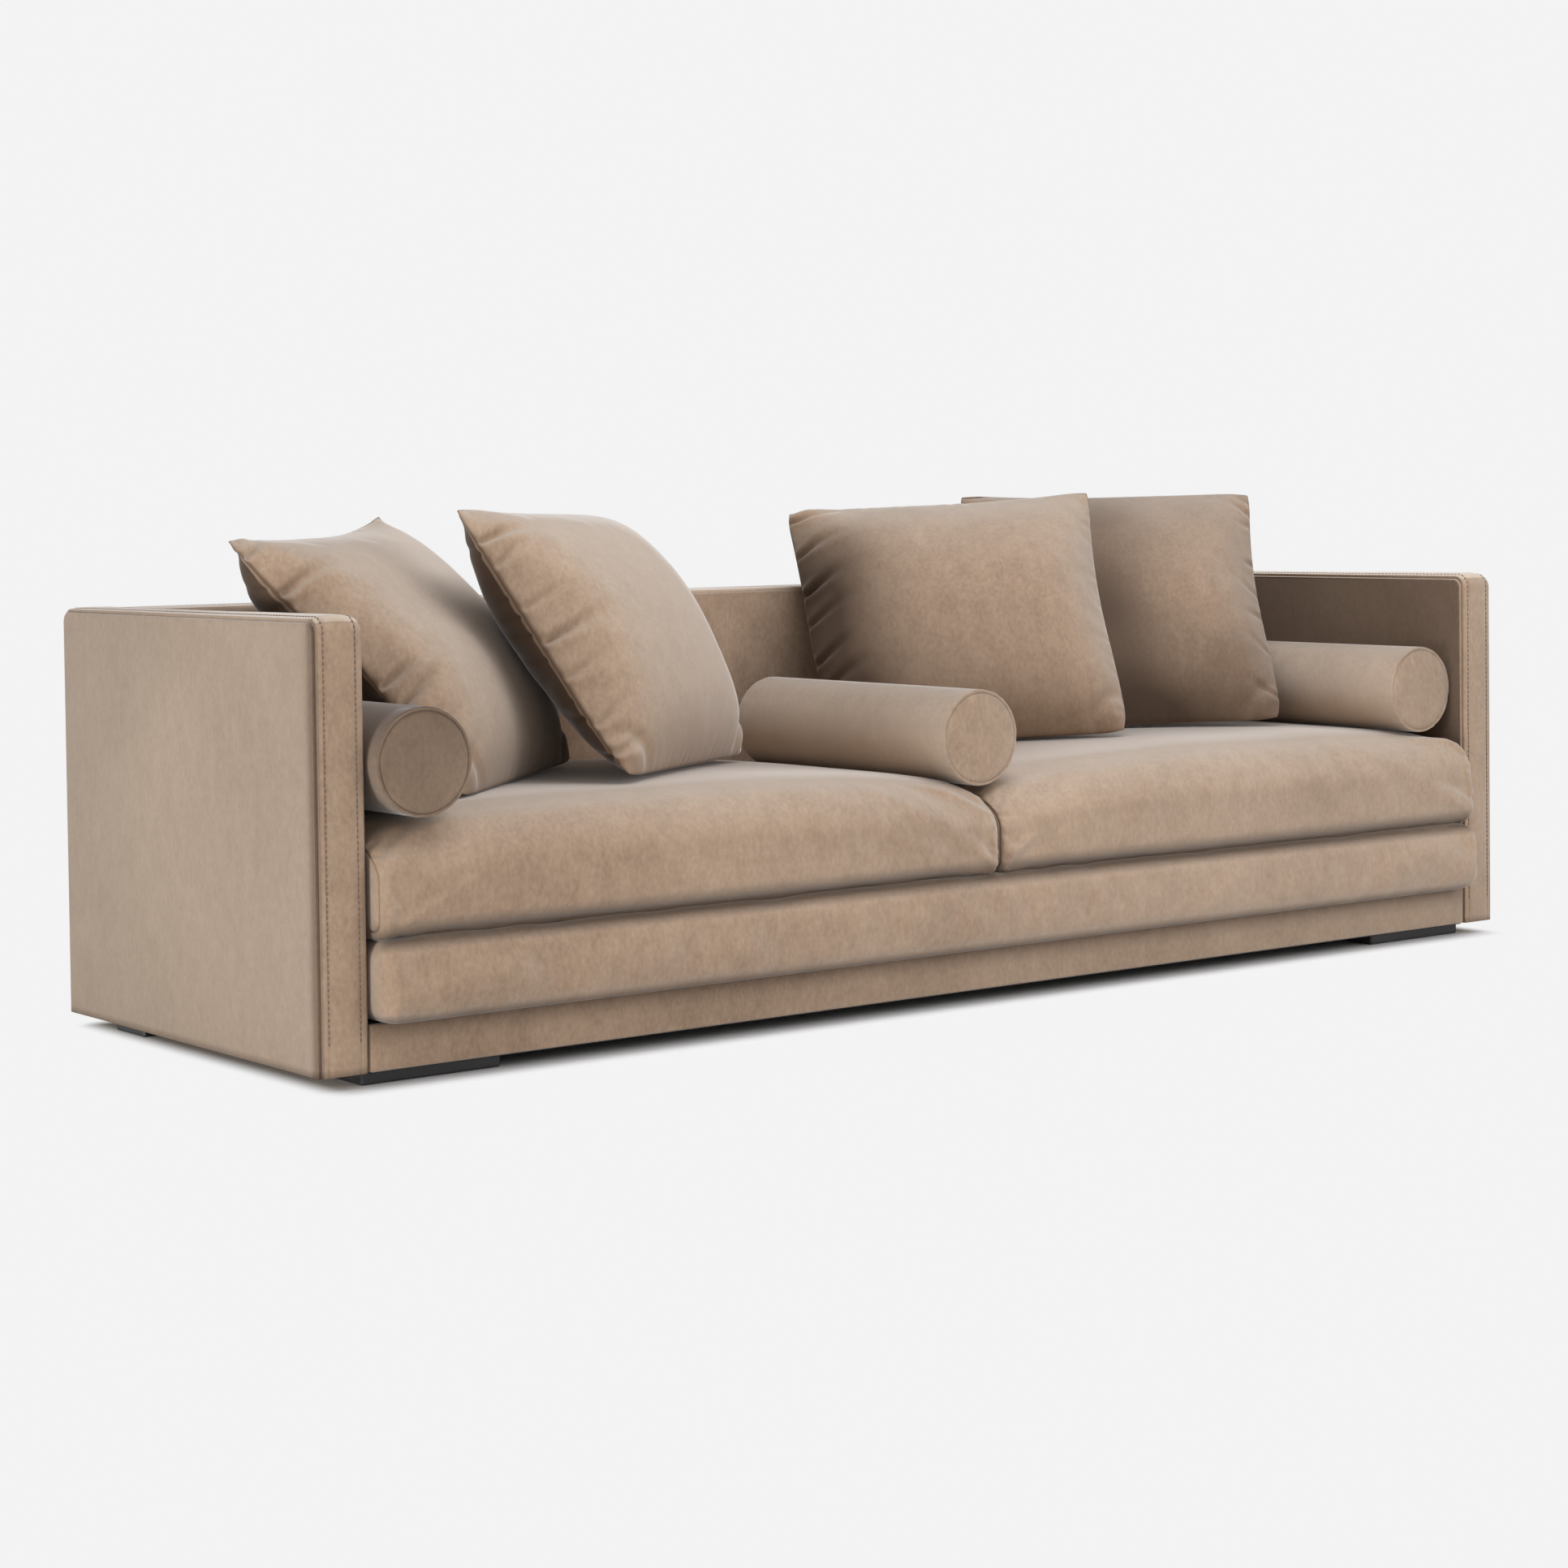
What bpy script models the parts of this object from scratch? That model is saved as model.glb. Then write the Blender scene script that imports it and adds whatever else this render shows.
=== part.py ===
"""Low velour sofa: timber frame, webbing, padded shell, two seat cushions, pillows and bolsters.

Metres, +Z up. The front faces -Y. The origin is on the floor under the middle of the sofa.
"""
import math

import bmesh
import bpy
from mathutils import Matrix, Vector
from mathutils.bvhtree import BVHTree

# Overall sizes
SOFA_WIDTH = 2.59
SHELL_DEPTH = 0.837
SHELL_TOP = 0.689
SEAT_OVERHANG = 0.052
GAP = 0.0003

# Padded shell: arms and back
ARM_THICKNESS = 0.084
BACK_THICKNESS = 0.131
COVER_WALL = 0.012
BACK_PADDING = 0.050
SHELL_CORNER = 0.022
SHELL_EDGE = 0.006
PANEL_THICKNESS = 0.003
POST_WIDTH = 0.045
CROSS_RAIL_HEIGHT = 0.040
BACK_POSTS = 4

# Base box under the seat
RAIL_HEIGHT = 0.067
RAIL_THICKNESS = 0.032
RAIL_ROUND = 0.002
STRETCHER_THICKNESS = 0.025
STRETCHER_DROP = 0.012
STRETCHERS = 3
BLOCK_LEG = 0.075
BLOCK_HEIGHT = 0.050
DUST_COVER = 0.001
DUST_INSET = 0.004

# Feet
FOOT_WIDTH = 0.243
FOOT_DEPTH = 0.100
FOOT_HEIGHT = 0.0213
FOOT_ROUND = 0.003
FRONT_FOOT_SETBACK = 0.020
FRONT_FOOT_FROM_SIDE = 0.080
REAR_FOOT_FROM_SIDE = 0.032
REAR_FOOT_REACH = 0.024

# Flange bolts that hold the arms and the back to the base box
BOLT_RADIUS = 0.004
BOLT_HEAD_RADIUS = 0.0075
BOLT_HEAD_HEIGHT = 0.0055
BOLT_FLANGE_RADIUS = 0.011
BOLT_FLANGE_THICKNESS = 0.0016
BOLT_BITE = 0.040
BOLT_CLEARANCE = 0.0008
BOLT_SIDES = 12
ARM_BOLT_COUNT = 2
BACK_BOLT_COUNT = 2

# Webbing
BELT_WIDTH = 0.060
BELT_THICKNESS = 0.002
BELT_LANDING = 0.024
BELT_BOND = 0.0004
CROSS_BELTS = 10
LONG_BELTS = 3
BACK_BELTS = 3
BACK_UPRIGHT_BELTS = 6

# Platform pad
PAD_HEIGHT = 0.122
PAD_ROUND = 0.024
PAD_SIDE_ROOM = 0.002

# Seat cushions
SEAT_HEIGHT = 0.189
SEAT_ROUND = 0.048
SEAT_CROWN = 0.036
SEAT_ARM_CROWN = 0.022
SEAT_CROWN_DEPTH = 0.012
SEAT_FRONT_DROP = 0.030
SEAT_FRONT_DROP_LENGTH = 0.160
SEAT_FRONT_BOW = 0.010
SEAT_SIDE_ROOM = 0.002

# Loose pillows
PILLOW_WIDTH = 0.600
PILLOW_HEIGHT = 0.530
PILLOW_DRAW_IN = 0.025
PILLOW_TUCK = 0.09
PILLOW_FULLNESS = 0.43
PILLOW_STEPS = 13
LEAN_CLEARANCE = 0.012

# How far a pillow's face stands out: free, pressed by its neighbour, or flattened by what it lies on
FREE_SWELL = 0.112
PRESSED_SWELL = 0.090
FLAT_SWELL = 0.055

# How far a bolster pushes in a pillow's left side, or its lower left corner
SIDE_PRESS = 0.12
CORNER_TUCK = 0.25

# Centres of the pillows before they are pushed back
LEFT_BACK_FROM_ARM = 0.426
LEFT_BACK_FROM_BACK = 0.4235
LEFT_FRONT_FROM_ARM = 0.786
LEFT_FRONT_FROM_BACK = 0.4835
RIGHT_BACK_FROM_ARM = 0.429
RIGHT_BACK_FROM_BACK = 0.4735
RIGHT_FRONT_FROM_SEAM = 0.410
RIGHT_FRONT_FROM_BACK = 0.4035

# Bolsters
BOLSTER_RADIUS = 0.084
BOLSTER_LENGTH = 0.585
BOLSTER_EDGE = 0.010
BOLSTER_DOME = 0.006
BOLSTER_SIDES = 22
BOLSTER_ARM_ROOM = 0.002
LEFT_BOLSTER_FROM_ARM_FRONT = -0.026
MIDDLE_BOLSTER_FROM_ARM_FRONT = 0.014
RIGHT_BOLSTER_FROM_ARM_FRONT = 0.028
MIDDLE_BOLSTER_FROM_SEAM = -0.004

# Planes worked out from the sizes above
HALF = SOFA_WIDTH / 2
INNER = HALF - ARM_THICKNESS
FRONT = -(SHELL_DEPTH + SEAT_OVERHANG) / 2
ARM_FRONT = FRONT + SEAT_OVERHANG
REAR = ARM_FRONT + SHELL_DEPTH
BACK_FACE = REAR - BACK_THICKNESS
FRAME_BOTTOM = FOOT_HEIGHT + GAP
RAIL_TOP = FRAME_BOTTOM + RAIL_HEIGHT
WEAVE = (BELT_THICKNESS - BELT_BOND) / 2
BELT_LEVEL = RAIL_TOP + GAP + BELT_THICKNESS / 2 + WEAVE
PAD_BOTTOM = BELT_LEVEL + WEAVE + BELT_THICKNESS / 2 + GAP
PAD_TOP = PAD_BOTTOM + PAD_HEIGHT
FRONT_RAIL = ARM_FRONT + COVER_WALL + GAP
REAR_RAIL = BACK_FACE - GAP - RAIL_THICKNESS
BOLT_LEVEL = FRAME_BOTTOM + RAIL_HEIGHT / 2

for leftover in list(bpy.data.objects):
    bpy.data.objects.remove(leftover)


def finish(name, colour, roughness, metallic=0.0):
    """One Principled material."""
    material = bpy.data.materials.new(name)
    material.use_nodes = True
    shader = material.node_tree.nodes["Principled BSDF"]
    shader.inputs["Base Color"].default_value = (*colour, 1.0)
    shader.inputs["Roughness"].default_value = roughness
    shader.inputs["Metallic"].default_value = metallic
    return material


VELOUR = ((0.405, 0.292, 0.205), 0.85)
TIMBER = ((0.58, 0.42, 0.25), 0.65)
BOARD = ((0.30, 0.20, 0.12), 0.75)
BELT = ((0.05, 0.05, 0.055), 0.80)
BLACK = ((0.016, 0.015, 0.015), 0.45)
STEEL = ((0.55, 0.55, 0.56), 0.35, 1.0)
LINING = ((0.03, 0.03, 0.03), 0.90)


def add_part(name, bm, look, parent=None, smooth_angle=None):
    """Turn a bmesh into a named object with a material of its own."""
    mesh = bpy.data.meshes.new(name)
    bmesh.ops.recalc_face_normals(bm, faces=bm.faces)
    if bm.calc_volume(signed=True) < 0:
        bmesh.ops.reverse_faces(bm, faces=bm.faces)
    bm.to_mesh(mesh)
    bm.free()
    mesh.materials.append(finish(name + "_finish", *look))
    if smooth_angle is not None:
        mesh.shade_smooth()
        mesh.set_sharp_from_angle(angle=math.radians(smooth_angle))
    part = bpy.data.objects.new(name, mesh)
    bpy.context.scene.collection.objects.link(part)
    part.parent = parent
    return part


def add_box(bm, low, high):
    """A box between two corners."""
    low = Vector(low)
    high = Vector(high)
    place = Matrix.Translation((low + high) / 2) @ Matrix.Diagonal((*(high - low), 1.0))
    return bmesh.ops.create_cube(bm, size=1.0, matrix=place)["verts"]


def add_rod(bm, start, direction, length, radius, sides):
    """A straight round bar from a start point along a direction."""
    direction = Vector(direction)
    turn = direction.to_track_quat("Z", "Y").to_matrix().to_4x4()
    place = Matrix.Translation(Vector(start) + direction * length / 2) @ turn
    bmesh.ops.create_cone(bm, cap_ends=True, segments=sides, radius1=radius, radius2=radius,
                          depth=length, matrix=place)


def timber(name, low, high, look=TIMBER, rounding=RAIL_ROUND):
    """A planed board with eased edges."""
    bm = bmesh.new()
    add_box(bm, low, high)
    bmesh.ops.bevel(bm, geom=bm.edges[:], offset=rounding, segments=1, affect="EDGES")
    return add_part(name, bm, look)


def sheet(name, low, high, look):
    """A thin flat sheet."""
    bm = bmesh.new()
    add_box(bm, low, high)
    return add_part(name, bm, look)


def cutter(name, bm):
    """A hidden tool that other parts are cut with."""
    tool = add_part(name, bm, LINING)
    tool.hide_render = True
    tool.display_type = "WIRE"
    return tool


def cut(part, *tools):
    """Cut the tools out of a part."""
    for tool in tools:
        boolean = part.modifiers.new(tool.name, "BOOLEAN")
        boolean.operation = "DIFFERENCE"
        boolean.object = tool


def spread(count, low, high):
    """Even places between two limits, half a step in from each end."""
    step = (high - low) / count
    return [low + step * (index + 0.5) for index in range(count)]


FRONT_FOOT_OUTER = HALF - FRONT_FOOT_FROM_SIDE
REAR_FOOT_OUTER = HALF - REAR_FOOT_FROM_SIDE
FRONT_FOOT_Y = ARM_FRONT + FRONT_FOOT_SETBACK
REAR_FOOT_Y = BACK_FACE + REAR_FOOT_REACH - FOOT_DEPTH
FEET = {
    "front_left_foot": (-FRONT_FOOT_OUTER, FRONT_FOOT_Y),
    "front_right_foot": (FRONT_FOOT_OUTER - FOOT_WIDTH, FRONT_FOOT_Y),
    "rear_left_foot": (-REAR_FOOT_OUTER, REAR_FOOT_Y),
    "rear_right_foot": (REAR_FOOT_OUTER - FOOT_WIDTH, REAR_FOOT_Y),
}


def make_feet():
    """Four low block feet."""
    for name, (x, y) in FEET.items():
        timber(name, (x, y, 0), (x + FOOT_WIDTH, y + FOOT_DEPTH, FRAME_BOTTOM - GAP), BLACK, FOOT_ROUND)


def turned(profile, sides):
    """A turned solid about its local Y axis; a radius may differ at corners and flats."""
    bm = bmesh.new()
    rings = []
    for radius, y in profile:
        if radius == 0.0:
            rings.append([bm.verts.new((0, y, 0))])
            continue
        corner, flat = radius if isinstance(radius, tuple) else (radius, radius)
        ring = []
        for index in range(sides):
            angle = 2 * math.pi * index / sides
            reach = corner if index % 2 == 0 else flat
            ring.append(bm.verts.new((reach * math.cos(angle), y, reach * math.sin(angle))))
        rings.append(ring)
    for first, second in zip(rings, rings[1:]):
        for index in range(sides):
            after = (index + 1) % sides
            if len(first) == 1:
                bm.faces.new((first[0], second[index], second[after]))
            elif len(second) == 1:
                bm.faces.new((first[after], first[index], second[0]))
            else:
                bm.faces.new((first[index], second[index], second[after], first[after]))
    return bm


def make_bolts(name, lines, length):
    """Hexagon flange bolts, and one tool that drills the timbers for all of them."""
    hexagon = (BOLT_HEAD_RADIUS, BOLT_HEAD_RADIUS * math.cos(math.pi / 6))
    top = -BOLT_FLANGE_THICKNESS
    profile = [(0.0, top - BOLT_HEAD_HEIGHT), (hexagon, top - BOLT_HEAD_HEIGHT), (hexagon, top),
               (BOLT_FLANGE_RADIUS, top), (BOLT_FLANGE_RADIUS, 0.0), (BOLT_RADIUS, 0.0),
               (BOLT_RADIUS, length), (0.0, length)]
    holes = bmesh.new()
    for index, (start, direction) in enumerate(lines):
        bolt = add_part("%s_%d" % (name, index + 1), turned(profile, BOLT_SIDES), STEEL)
        bolt.location = start - direction * GAP
        bolt.rotation_mode = "QUATERNION"
        bolt.rotation_quaternion = direction.to_track_quat("Y", "Z")
        add_rod(holes, start - direction * GAP, direction, length + BOLT_CLEARANCE + GAP,
                BOLT_RADIUS + BOLT_CLEARANCE, BOLT_SIDES)
    return cutter(name + "_holes", holes)


def arm_bolt_lines():
    """Start and direction of each bolt from the base box into an arm."""
    start = INNER - GAP - RAIL_THICKNESS
    for side in (-1, 1):
        for y in spread(ARM_BOLT_COUNT, FRONT_RAIL + RAIL_THICKNESS, REAR_RAIL):
            yield Vector((side * start, y, BOLT_LEVEL)), Vector((side, 0, 0))


def back_bolt_lines():
    """Start and direction of each bolt from the base box into the back."""
    for x in spread(BACK_BOLT_COUNT, -INNER + RAIL_THICKNESS, INNER - RAIL_THICKNESS):
        yield Vector((x, REAR_RAIL, BOLT_LEVEL)), Vector((0, 1, 0))


ARM_BOLT_LENGTH = RAIL_THICKNESS + COVER_WALL + PANEL_THICKNESS + BOLT_BITE
BACK_BOLT_LENGTH = RAIL_THICKNESS + BACK_PADDING + BELT_THICKNESS + BOLT_BITE
ARM_HOLES = make_bolts("arm_bolt", list(arm_bolt_lines()), ARM_BOLT_LENGTH)
BACK_HOLES = make_bolts("back_bolt", list(back_bolt_lines()), BACK_BOLT_LENGTH)


def make_base_box():
    """Rails, stretchers, corner blocks and the lining of the box under the seat."""
    edge = INNER - GAP
    rear_end = REAR_RAIL + RAIL_THICKNESS
    timber("base_front_rail", (-edge, FRONT_RAIL, FRAME_BOTTOM),
           (edge, FRONT_RAIL + RAIL_THICKNESS, RAIL_TOP))
    rear_rail = timber("base_rear_rail", (-edge, REAR_RAIL, FRAME_BOTTOM), (edge, rear_end, RAIL_TOP))
    cut(rear_rail, BACK_HOLES)
    inside_front = FRONT_RAIL + RAIL_THICKNESS + GAP
    inside_rear = REAR_RAIL - GAP
    for side, name in ((-1, "base_left_rail"), (1, "base_right_rail")):
        xs = sorted((side * edge, side * (edge - RAIL_THICKNESS)))
        rail = timber(name, (xs[0], inside_front, FRAME_BOTTOM), (xs[1], inside_rear, RAIL_TOP))
        cut(rail, ARM_HOLES)
    names = ["base_stretcher_%d" % (index + 1) for index in range(STRETCHERS)]
    for name, x in zip(names, spread(STRETCHERS, -edge + RAIL_THICKNESS, edge - RAIL_THICKNESS)):
        timber(name, (x - STRETCHER_THICKNESS / 2, inside_front, FRAME_BOTTOM),
               (x + STRETCHER_THICKNESS / 2, inside_rear, RAIL_TOP - STRETCHER_DROP))
    corner_x = edge - RAIL_THICKNESS - GAP
    for side, side_word in ((-1, "left"), (1, "right")):
        for corner_y, way, end_word in ((inside_front, 1, "front"), (inside_rear, -1, "rear")):
            outline = [(side * corner_x, corner_y), (side * (corner_x - BLOCK_LEG), corner_y),
                       (side * corner_x, corner_y + way * BLOCK_LEG)]
            block = bmesh.new()
            extrude_outline(block, outline, RAIL_TOP - RAIL_ROUND - BLOCK_HEIGHT, RAIL_TOP - RAIL_ROUND)
            add_part("base_corner_block_%s_%s" % (end_word, side_word), block, TIMBER)
    strip = timber("base_front_cover", (-edge, ARM_FRONT, FRAME_BOTTOM),
                   (edge, ARM_FRONT + COVER_WALL, PAD_BOTTOM - GAP), VELOUR, COVER_WALL / 4)
    strip.data.shade_smooth()
    lining_edge = edge - DUST_INSET
    lining = sheet("dust_cover", (-lining_edge, ARM_FRONT + DUST_INSET, FRAME_BOTTOM - GAP - DUST_COVER),
                   (lining_edge, BACK_FACE - DUST_INSET, FRAME_BOTTOM - GAP), LINING)
    notches = bmesh.new()
    for x, y in FEET.values():
        add_box(notches, (x - GAP, y - GAP, 0), (x + FOOT_WIDTH + GAP, y + FOOT_DEPTH + GAP, RAIL_TOP))
    cut(lining, cutter("foot_notches", notches))


def extrude_outline(bm, outline, low, high):
    """A flat outline in X and Y, raised between two heights."""
    face = bm.faces.new([bm.verts.new((x, y, low)) for x, y in outline])
    raised = bmesh.ops.extrude_face_region(bm, geom=[face])["geom"]
    lifted = [item for item in raised if isinstance(item, bmesh.types.BMVert)]
    bmesh.ops.translate(bm, verts=lifted, vec=(0, 0, high - low))


def add_belt(bm, points, across, thickness_way):
    """A flat belt swept through points, with its width along across."""
    rings = []
    half_width = Vector(across) * BELT_WIDTH / 2
    half_thick = Vector(thickness_way) * BELT_THICKNESS / 2
    for point in points:
        corners = [-half_width - half_thick, half_width - half_thick,
                   half_width + half_thick, -half_width + half_thick]
        rings.append([bm.verts.new(point + corner) for corner in corners])
    for first, second in zip(rings, rings[1:]):
        for index in range(4):
            after = (index + 1) % 4
            bm.faces.new((first[index], first[after], second[after], second[index]))
    bm.faces.new(rings[0][::-1])
    bm.faces.new(rings[-1])


def belt_path(start, end, crossings, flat, sign):
    """Heights of a woven belt: level on its rails, over and under at the crossings."""
    low = RAIL_TOP + GAP + BELT_THICKNESS / 2
    path = [(start, low), (start + flat, low)]
    for crossing in crossings:
        level = BELT_LEVEL + sign * WEAVE
        path += [(crossing - BELT_WIDTH * 0.6, level), (crossing + BELT_WIDTH * 0.6, level)]
        sign = -sign
    path += [(end - flat, low), (end, low)]
    return path


def make_seat_webbing():
    """Elastic belts woven across the base box, pinned on its rails and bonded where they cross."""
    edge = INNER - GAP
    inner_x = edge - RAIL_THICKNESS
    rail_gap = RAIL_THICKNESS - BELT_LANDING
    front_end = FRONT_RAIL + rail_gap
    rear_end = REAR_RAIL + BELT_LANDING
    cross_places = spread(CROSS_BELTS, -inner_x, inner_x)
    long_places = spread(LONG_BELTS, FRONT_RAIL + RAIL_THICKNESS, REAR_RAIL)
    cross = bmesh.new()
    for index, x in enumerate(cross_places):
        sign = 1 if index % 2 == 0 else -1
        path = belt_path(front_end, rear_end, long_places, BELT_LANDING, sign)
        add_belt(cross, [Vector((x, y, z)) for y, z in path], (1, 0, 0), (0, 0, 1))
    webbing = add_part("seat_webbing", cross, BELT)
    along = bmesh.new()
    side_end = edge - rail_gap
    for index, y in enumerate(long_places):
        sign = -1 if index % 2 == 0 else 1
        path = belt_path(-side_end, side_end, cross_places, BELT_LANDING, sign)
        add_belt(along, [Vector((x, y, z)) for x, z in path], (0, 1, 0), (0, 0, 1))
    weave = webbing.modifiers.new("weave", "BOOLEAN")
    weave.operation = "UNION"
    weave.object = cutter("seat_webbing_long", along)


def make_back_webbing(low, high, y):
    """Belts across the back and upright belts sewn to them, one flat net."""
    def lines(start, end, count):
        edges = []
        for place in spread(count, start, end):
            edges += [place - BELT_WIDTH / 2, place + BELT_WIDTH / 2]
        return [start] + edges + [end]

    xs = lines(low.x, high.x, BACK_UPRIGHT_BELTS)
    zs = lines(low.y, high.y, BACK_BELTS)
    bm = bmesh.new()
    known = {}

    def point(i, j):
        if (i, j) not in known:
            known[(i, j)] = bm.verts.new((xs[i], y, zs[j]))
        return known[(i, j)]

    for i in range(len(xs) - 1):
        for j in range(len(zs) - 1):
            if i % 2 == 1 or j % 2 == 1:
                bm.faces.new((point(i, j), point(i + 1, j), point(i + 1, j + 1), point(i, j + 1)))
    raised = bmesh.ops.extrude_face_region(bm, geom=bm.faces[:])["geom"]
    moved = [item for item in raised if isinstance(item, bmesh.types.BMVert)]
    bmesh.ops.translate(bm, verts=moved, vec=(0, BELT_THICKNESS, 0))
    add_part("back_webbing", bm, BELT)


def cover_profile():
    """Side view of the shell: a rectangle with rounded top corners, in Y and Z."""
    points = [(ARM_FRONT, FRAME_BOTTOM), (REAR, FRAME_BOTTOM)]
    steps = 5
    for centre_y, first in ((REAR - SHELL_CORNER, 0), (ARM_FRONT + SHELL_CORNER, 90)):
        for index in range(steps + 1):
            angle = math.radians(first + 90 * index / steps)
            points.append((centre_y + SHELL_CORNER * math.cos(angle),
                           SHELL_TOP - SHELL_CORNER + SHELL_CORNER * math.sin(angle)))
    return points


def make_arm(side, name):
    """One arm: ladder frame, two hardboard panels and a padded cover open underneath."""
    def span(near, far):
        return sorted((side * near, side * far))

    outer = bmesh.new()
    low_x, high_x = span(INNER, HALF)
    face = outer.faces.new([outer.verts.new((low_x, y, z)) for y, z in cover_profile()])
    raised = bmesh.ops.extrude_face_region(outer, geom=[face])["geom"]
    moved = [item for item in raised if isinstance(item, bmesh.types.BMVert)]
    bmesh.ops.translate(outer, verts=moved, vec=(high_x - low_x, 0, 0))
    rims = [edge for edge in outer.edges
            if abs(edge.verts[0].co.x - edge.verts[1].co.x) < GAP
            and max(v.co.z for v in edge.verts) > FRAME_BOTTOM + GAP]
    bmesh.ops.bevel(outer, geom=rims, offset=SHELL_EDGE, segments=2, profile=0.5, affect="EDGES")
    cover = add_part(name + "_cover", outer, VELOUR, smooth_angle=40)
    hollow = bmesh.new()
    low_x, high_x = span(INNER + COVER_WALL, HALF - COVER_WALL)
    top = SHELL_TOP - COVER_WALL
    front = ARM_FRONT + COVER_WALL
    rear = REAR - COVER_WALL
    add_box(hollow, (low_x, front, 0), (high_x, rear, top))
    cut(cover, cutter(name + "_hollow", hollow), ARM_HOLES)

    front += GAP
    rear -= GAP
    top -= GAP
    for part, near in (("inner", INNER + COVER_WALL + GAP),
                       ("outer", HALF - COVER_WALL - GAP - PANEL_THICKNESS)):
        low_x, high_x = span(near, near + PANEL_THICKNESS)
        panel = sheet("%s_%s_panel" % (name, part), (low_x, front, FRAME_BOTTOM), (high_x, rear, top), BOARD)
        cut(panel, ARM_HOLES)
    skin = COVER_WALL + PANEL_THICKNESS + 2 * GAP
    low_x, high_x = span(INNER + skin, HALF - skin)
    under_top = top - CROSS_RAIL_HEIGHT - GAP
    timber(name + "_top_rail", (low_x, front, top - CROSS_RAIL_HEIGHT), (high_x, rear, top))
    timber(name + "_front_post", (low_x, front, FRAME_BOTTOM), (high_x, front + POST_WIDTH, under_top))
    timber(name + "_rear_post", (low_x, rear - POST_WIDTH, FRAME_BOTTOM), (high_x, rear, under_top))
    between = (front + POST_WIDTH + GAP, rear - POST_WIDTH - GAP)
    foot_rail = timber(name + "_bottom_rail", (low_x, between[0], FRAME_BOTTOM),
                       (high_x, between[1], FRAME_BOTTOM + RAIL_HEIGHT))
    cut(foot_rail, ARM_HOLES)
    middle = (FRAME_BOTTOM + SHELL_TOP) / 2
    timber(name + "_middle_rail", (low_x, between[0], middle - CROSS_RAIL_HEIGHT / 2),
           (high_x, between[1], middle + CROSS_RAIL_HEIGHT / 2))


def make_back():
    """The back: posts and rails, belts across their front, and a padded cover open underneath."""
    edge = INNER - GAP
    outer = bmesh.new()
    add_box(outer, (-edge, BACK_FACE, FRAME_BOTTOM), (edge, REAR, SHELL_TOP))
    rims = [e for e in outer.edges if min(v.co.z for v in e.verts) > SHELL_TOP - GAP
            and abs(e.verts[0].co.x - e.verts[1].co.x) > GAP]
    bmesh.ops.bevel(outer, geom=rims, offset=SHELL_EDGE * 2, segments=3, profile=0.5, affect="EDGES")
    cover = add_part("back_cover", outer, VELOUR, smooth_angle=40)
    hollow = bmesh.new()
    front = BACK_FACE + BACK_PADDING
    rear = REAR - COVER_WALL
    side = edge - COVER_WALL
    top = SHELL_TOP - COVER_WALL
    add_box(hollow, (-side, front, 0), (side, rear, top))
    cut(cover, cutter("back_hollow", hollow), BACK_HOLES)

    belt_front = front + GAP
    front += BELT_THICKNESS + 2 * GAP
    rear -= GAP
    side -= GAP
    top -= GAP
    timber("back_top_rail", (-side, front, top - CROSS_RAIL_HEIGHT), (side, rear, top))
    bottom = timber("back_bottom_rail", (-side, front, FRAME_BOTTOM),
                    (side, rear, FRAME_BOTTOM + RAIL_HEIGHT))
    cut(bottom, BACK_HOLES)
    step = (2 * side - POST_WIDTH) / (BACK_POSTS - 1)
    for index in range(BACK_POSTS):
        x = -side + step * index
        timber("back_post_%d" % (index + 1), (x, front, FRAME_BOTTOM + RAIL_HEIGHT + GAP),
               (x + POST_WIDTH, rear, top - CROSS_RAIL_HEIGHT - GAP))
    net_side = side - POST_WIDTH + BELT_LANDING
    net_bottom = FRAME_BOTTOM + RAIL_HEIGHT - BELT_LANDING
    net_top = top - CROSS_RAIL_HEIGHT + BELT_LANDING
    make_back_webbing(Vector((-net_side, net_bottom)), Vector((net_side, net_top)), belt_front)


def stations(half, rounding, inner):
    """Grid lines along one side of a soft box, closer together where the edge is round."""
    flat = half - rounding
    lines = [-half, -half + rounding * 0.3]
    lines += [-flat + 2 * flat * index / inner for index in range(inner + 1)]
    return lines + [half - rounding * 0.3, half]


def soft_box(half, rounding, counts, shape):
    """A box with round edges whose points are then moved by a shape rule."""
    bm = bmesh.new()
    lines = [stations(half[axis], rounding, counts[axis]) for axis in range(3)]
    known = {}

    def point(place):
        if place not in known:
            flat = Vector([lines[axis][place[axis]] for axis in range(3)])
            core = Vector([max(-half[axis] + rounding, min(half[axis] - rounding, flat[axis]))
                           for axis in range(3)])
            out = (flat - core).normalized() * rounding
            known[place] = bm.verts.new(shape(core + out))
        return known[place]

    for axis in range(3):
        first, second = [other for other in range(3) if other != axis]
        for end in (0, len(lines[axis]) - 1):
            for i in range(len(lines[first]) - 1):
                for j in range(len(lines[second]) - 1):
                    corners = []
                    for di, dj in ((0, 0), (1, 0), (1, 1), (0, 1)):
                        place = [0, 0, 0]
                        place[axis] = end
                        place[first] = i + di
                        place[second] = j + dj
                        corners.append(point(tuple(place)))
                    bm.faces.new(corners)
    return bm


def make_pad():
    """The long padded platform that the seat cushions lie on."""
    half = (INNER - PAD_SIDE_ROOM, (BACK_FACE - GAP - FRONT) / 2, PAD_HEIGHT / 2)
    centre = Vector((0, FRONT + half[1], PAD_BOTTOM + half[2]))
    bm = soft_box(half, PAD_ROUND, (14, 4, 1), lambda p: p)
    pad = add_part("seat_platform_pad", bm, VELOUR, smooth_angle=60)
    pad.location = centre


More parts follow.
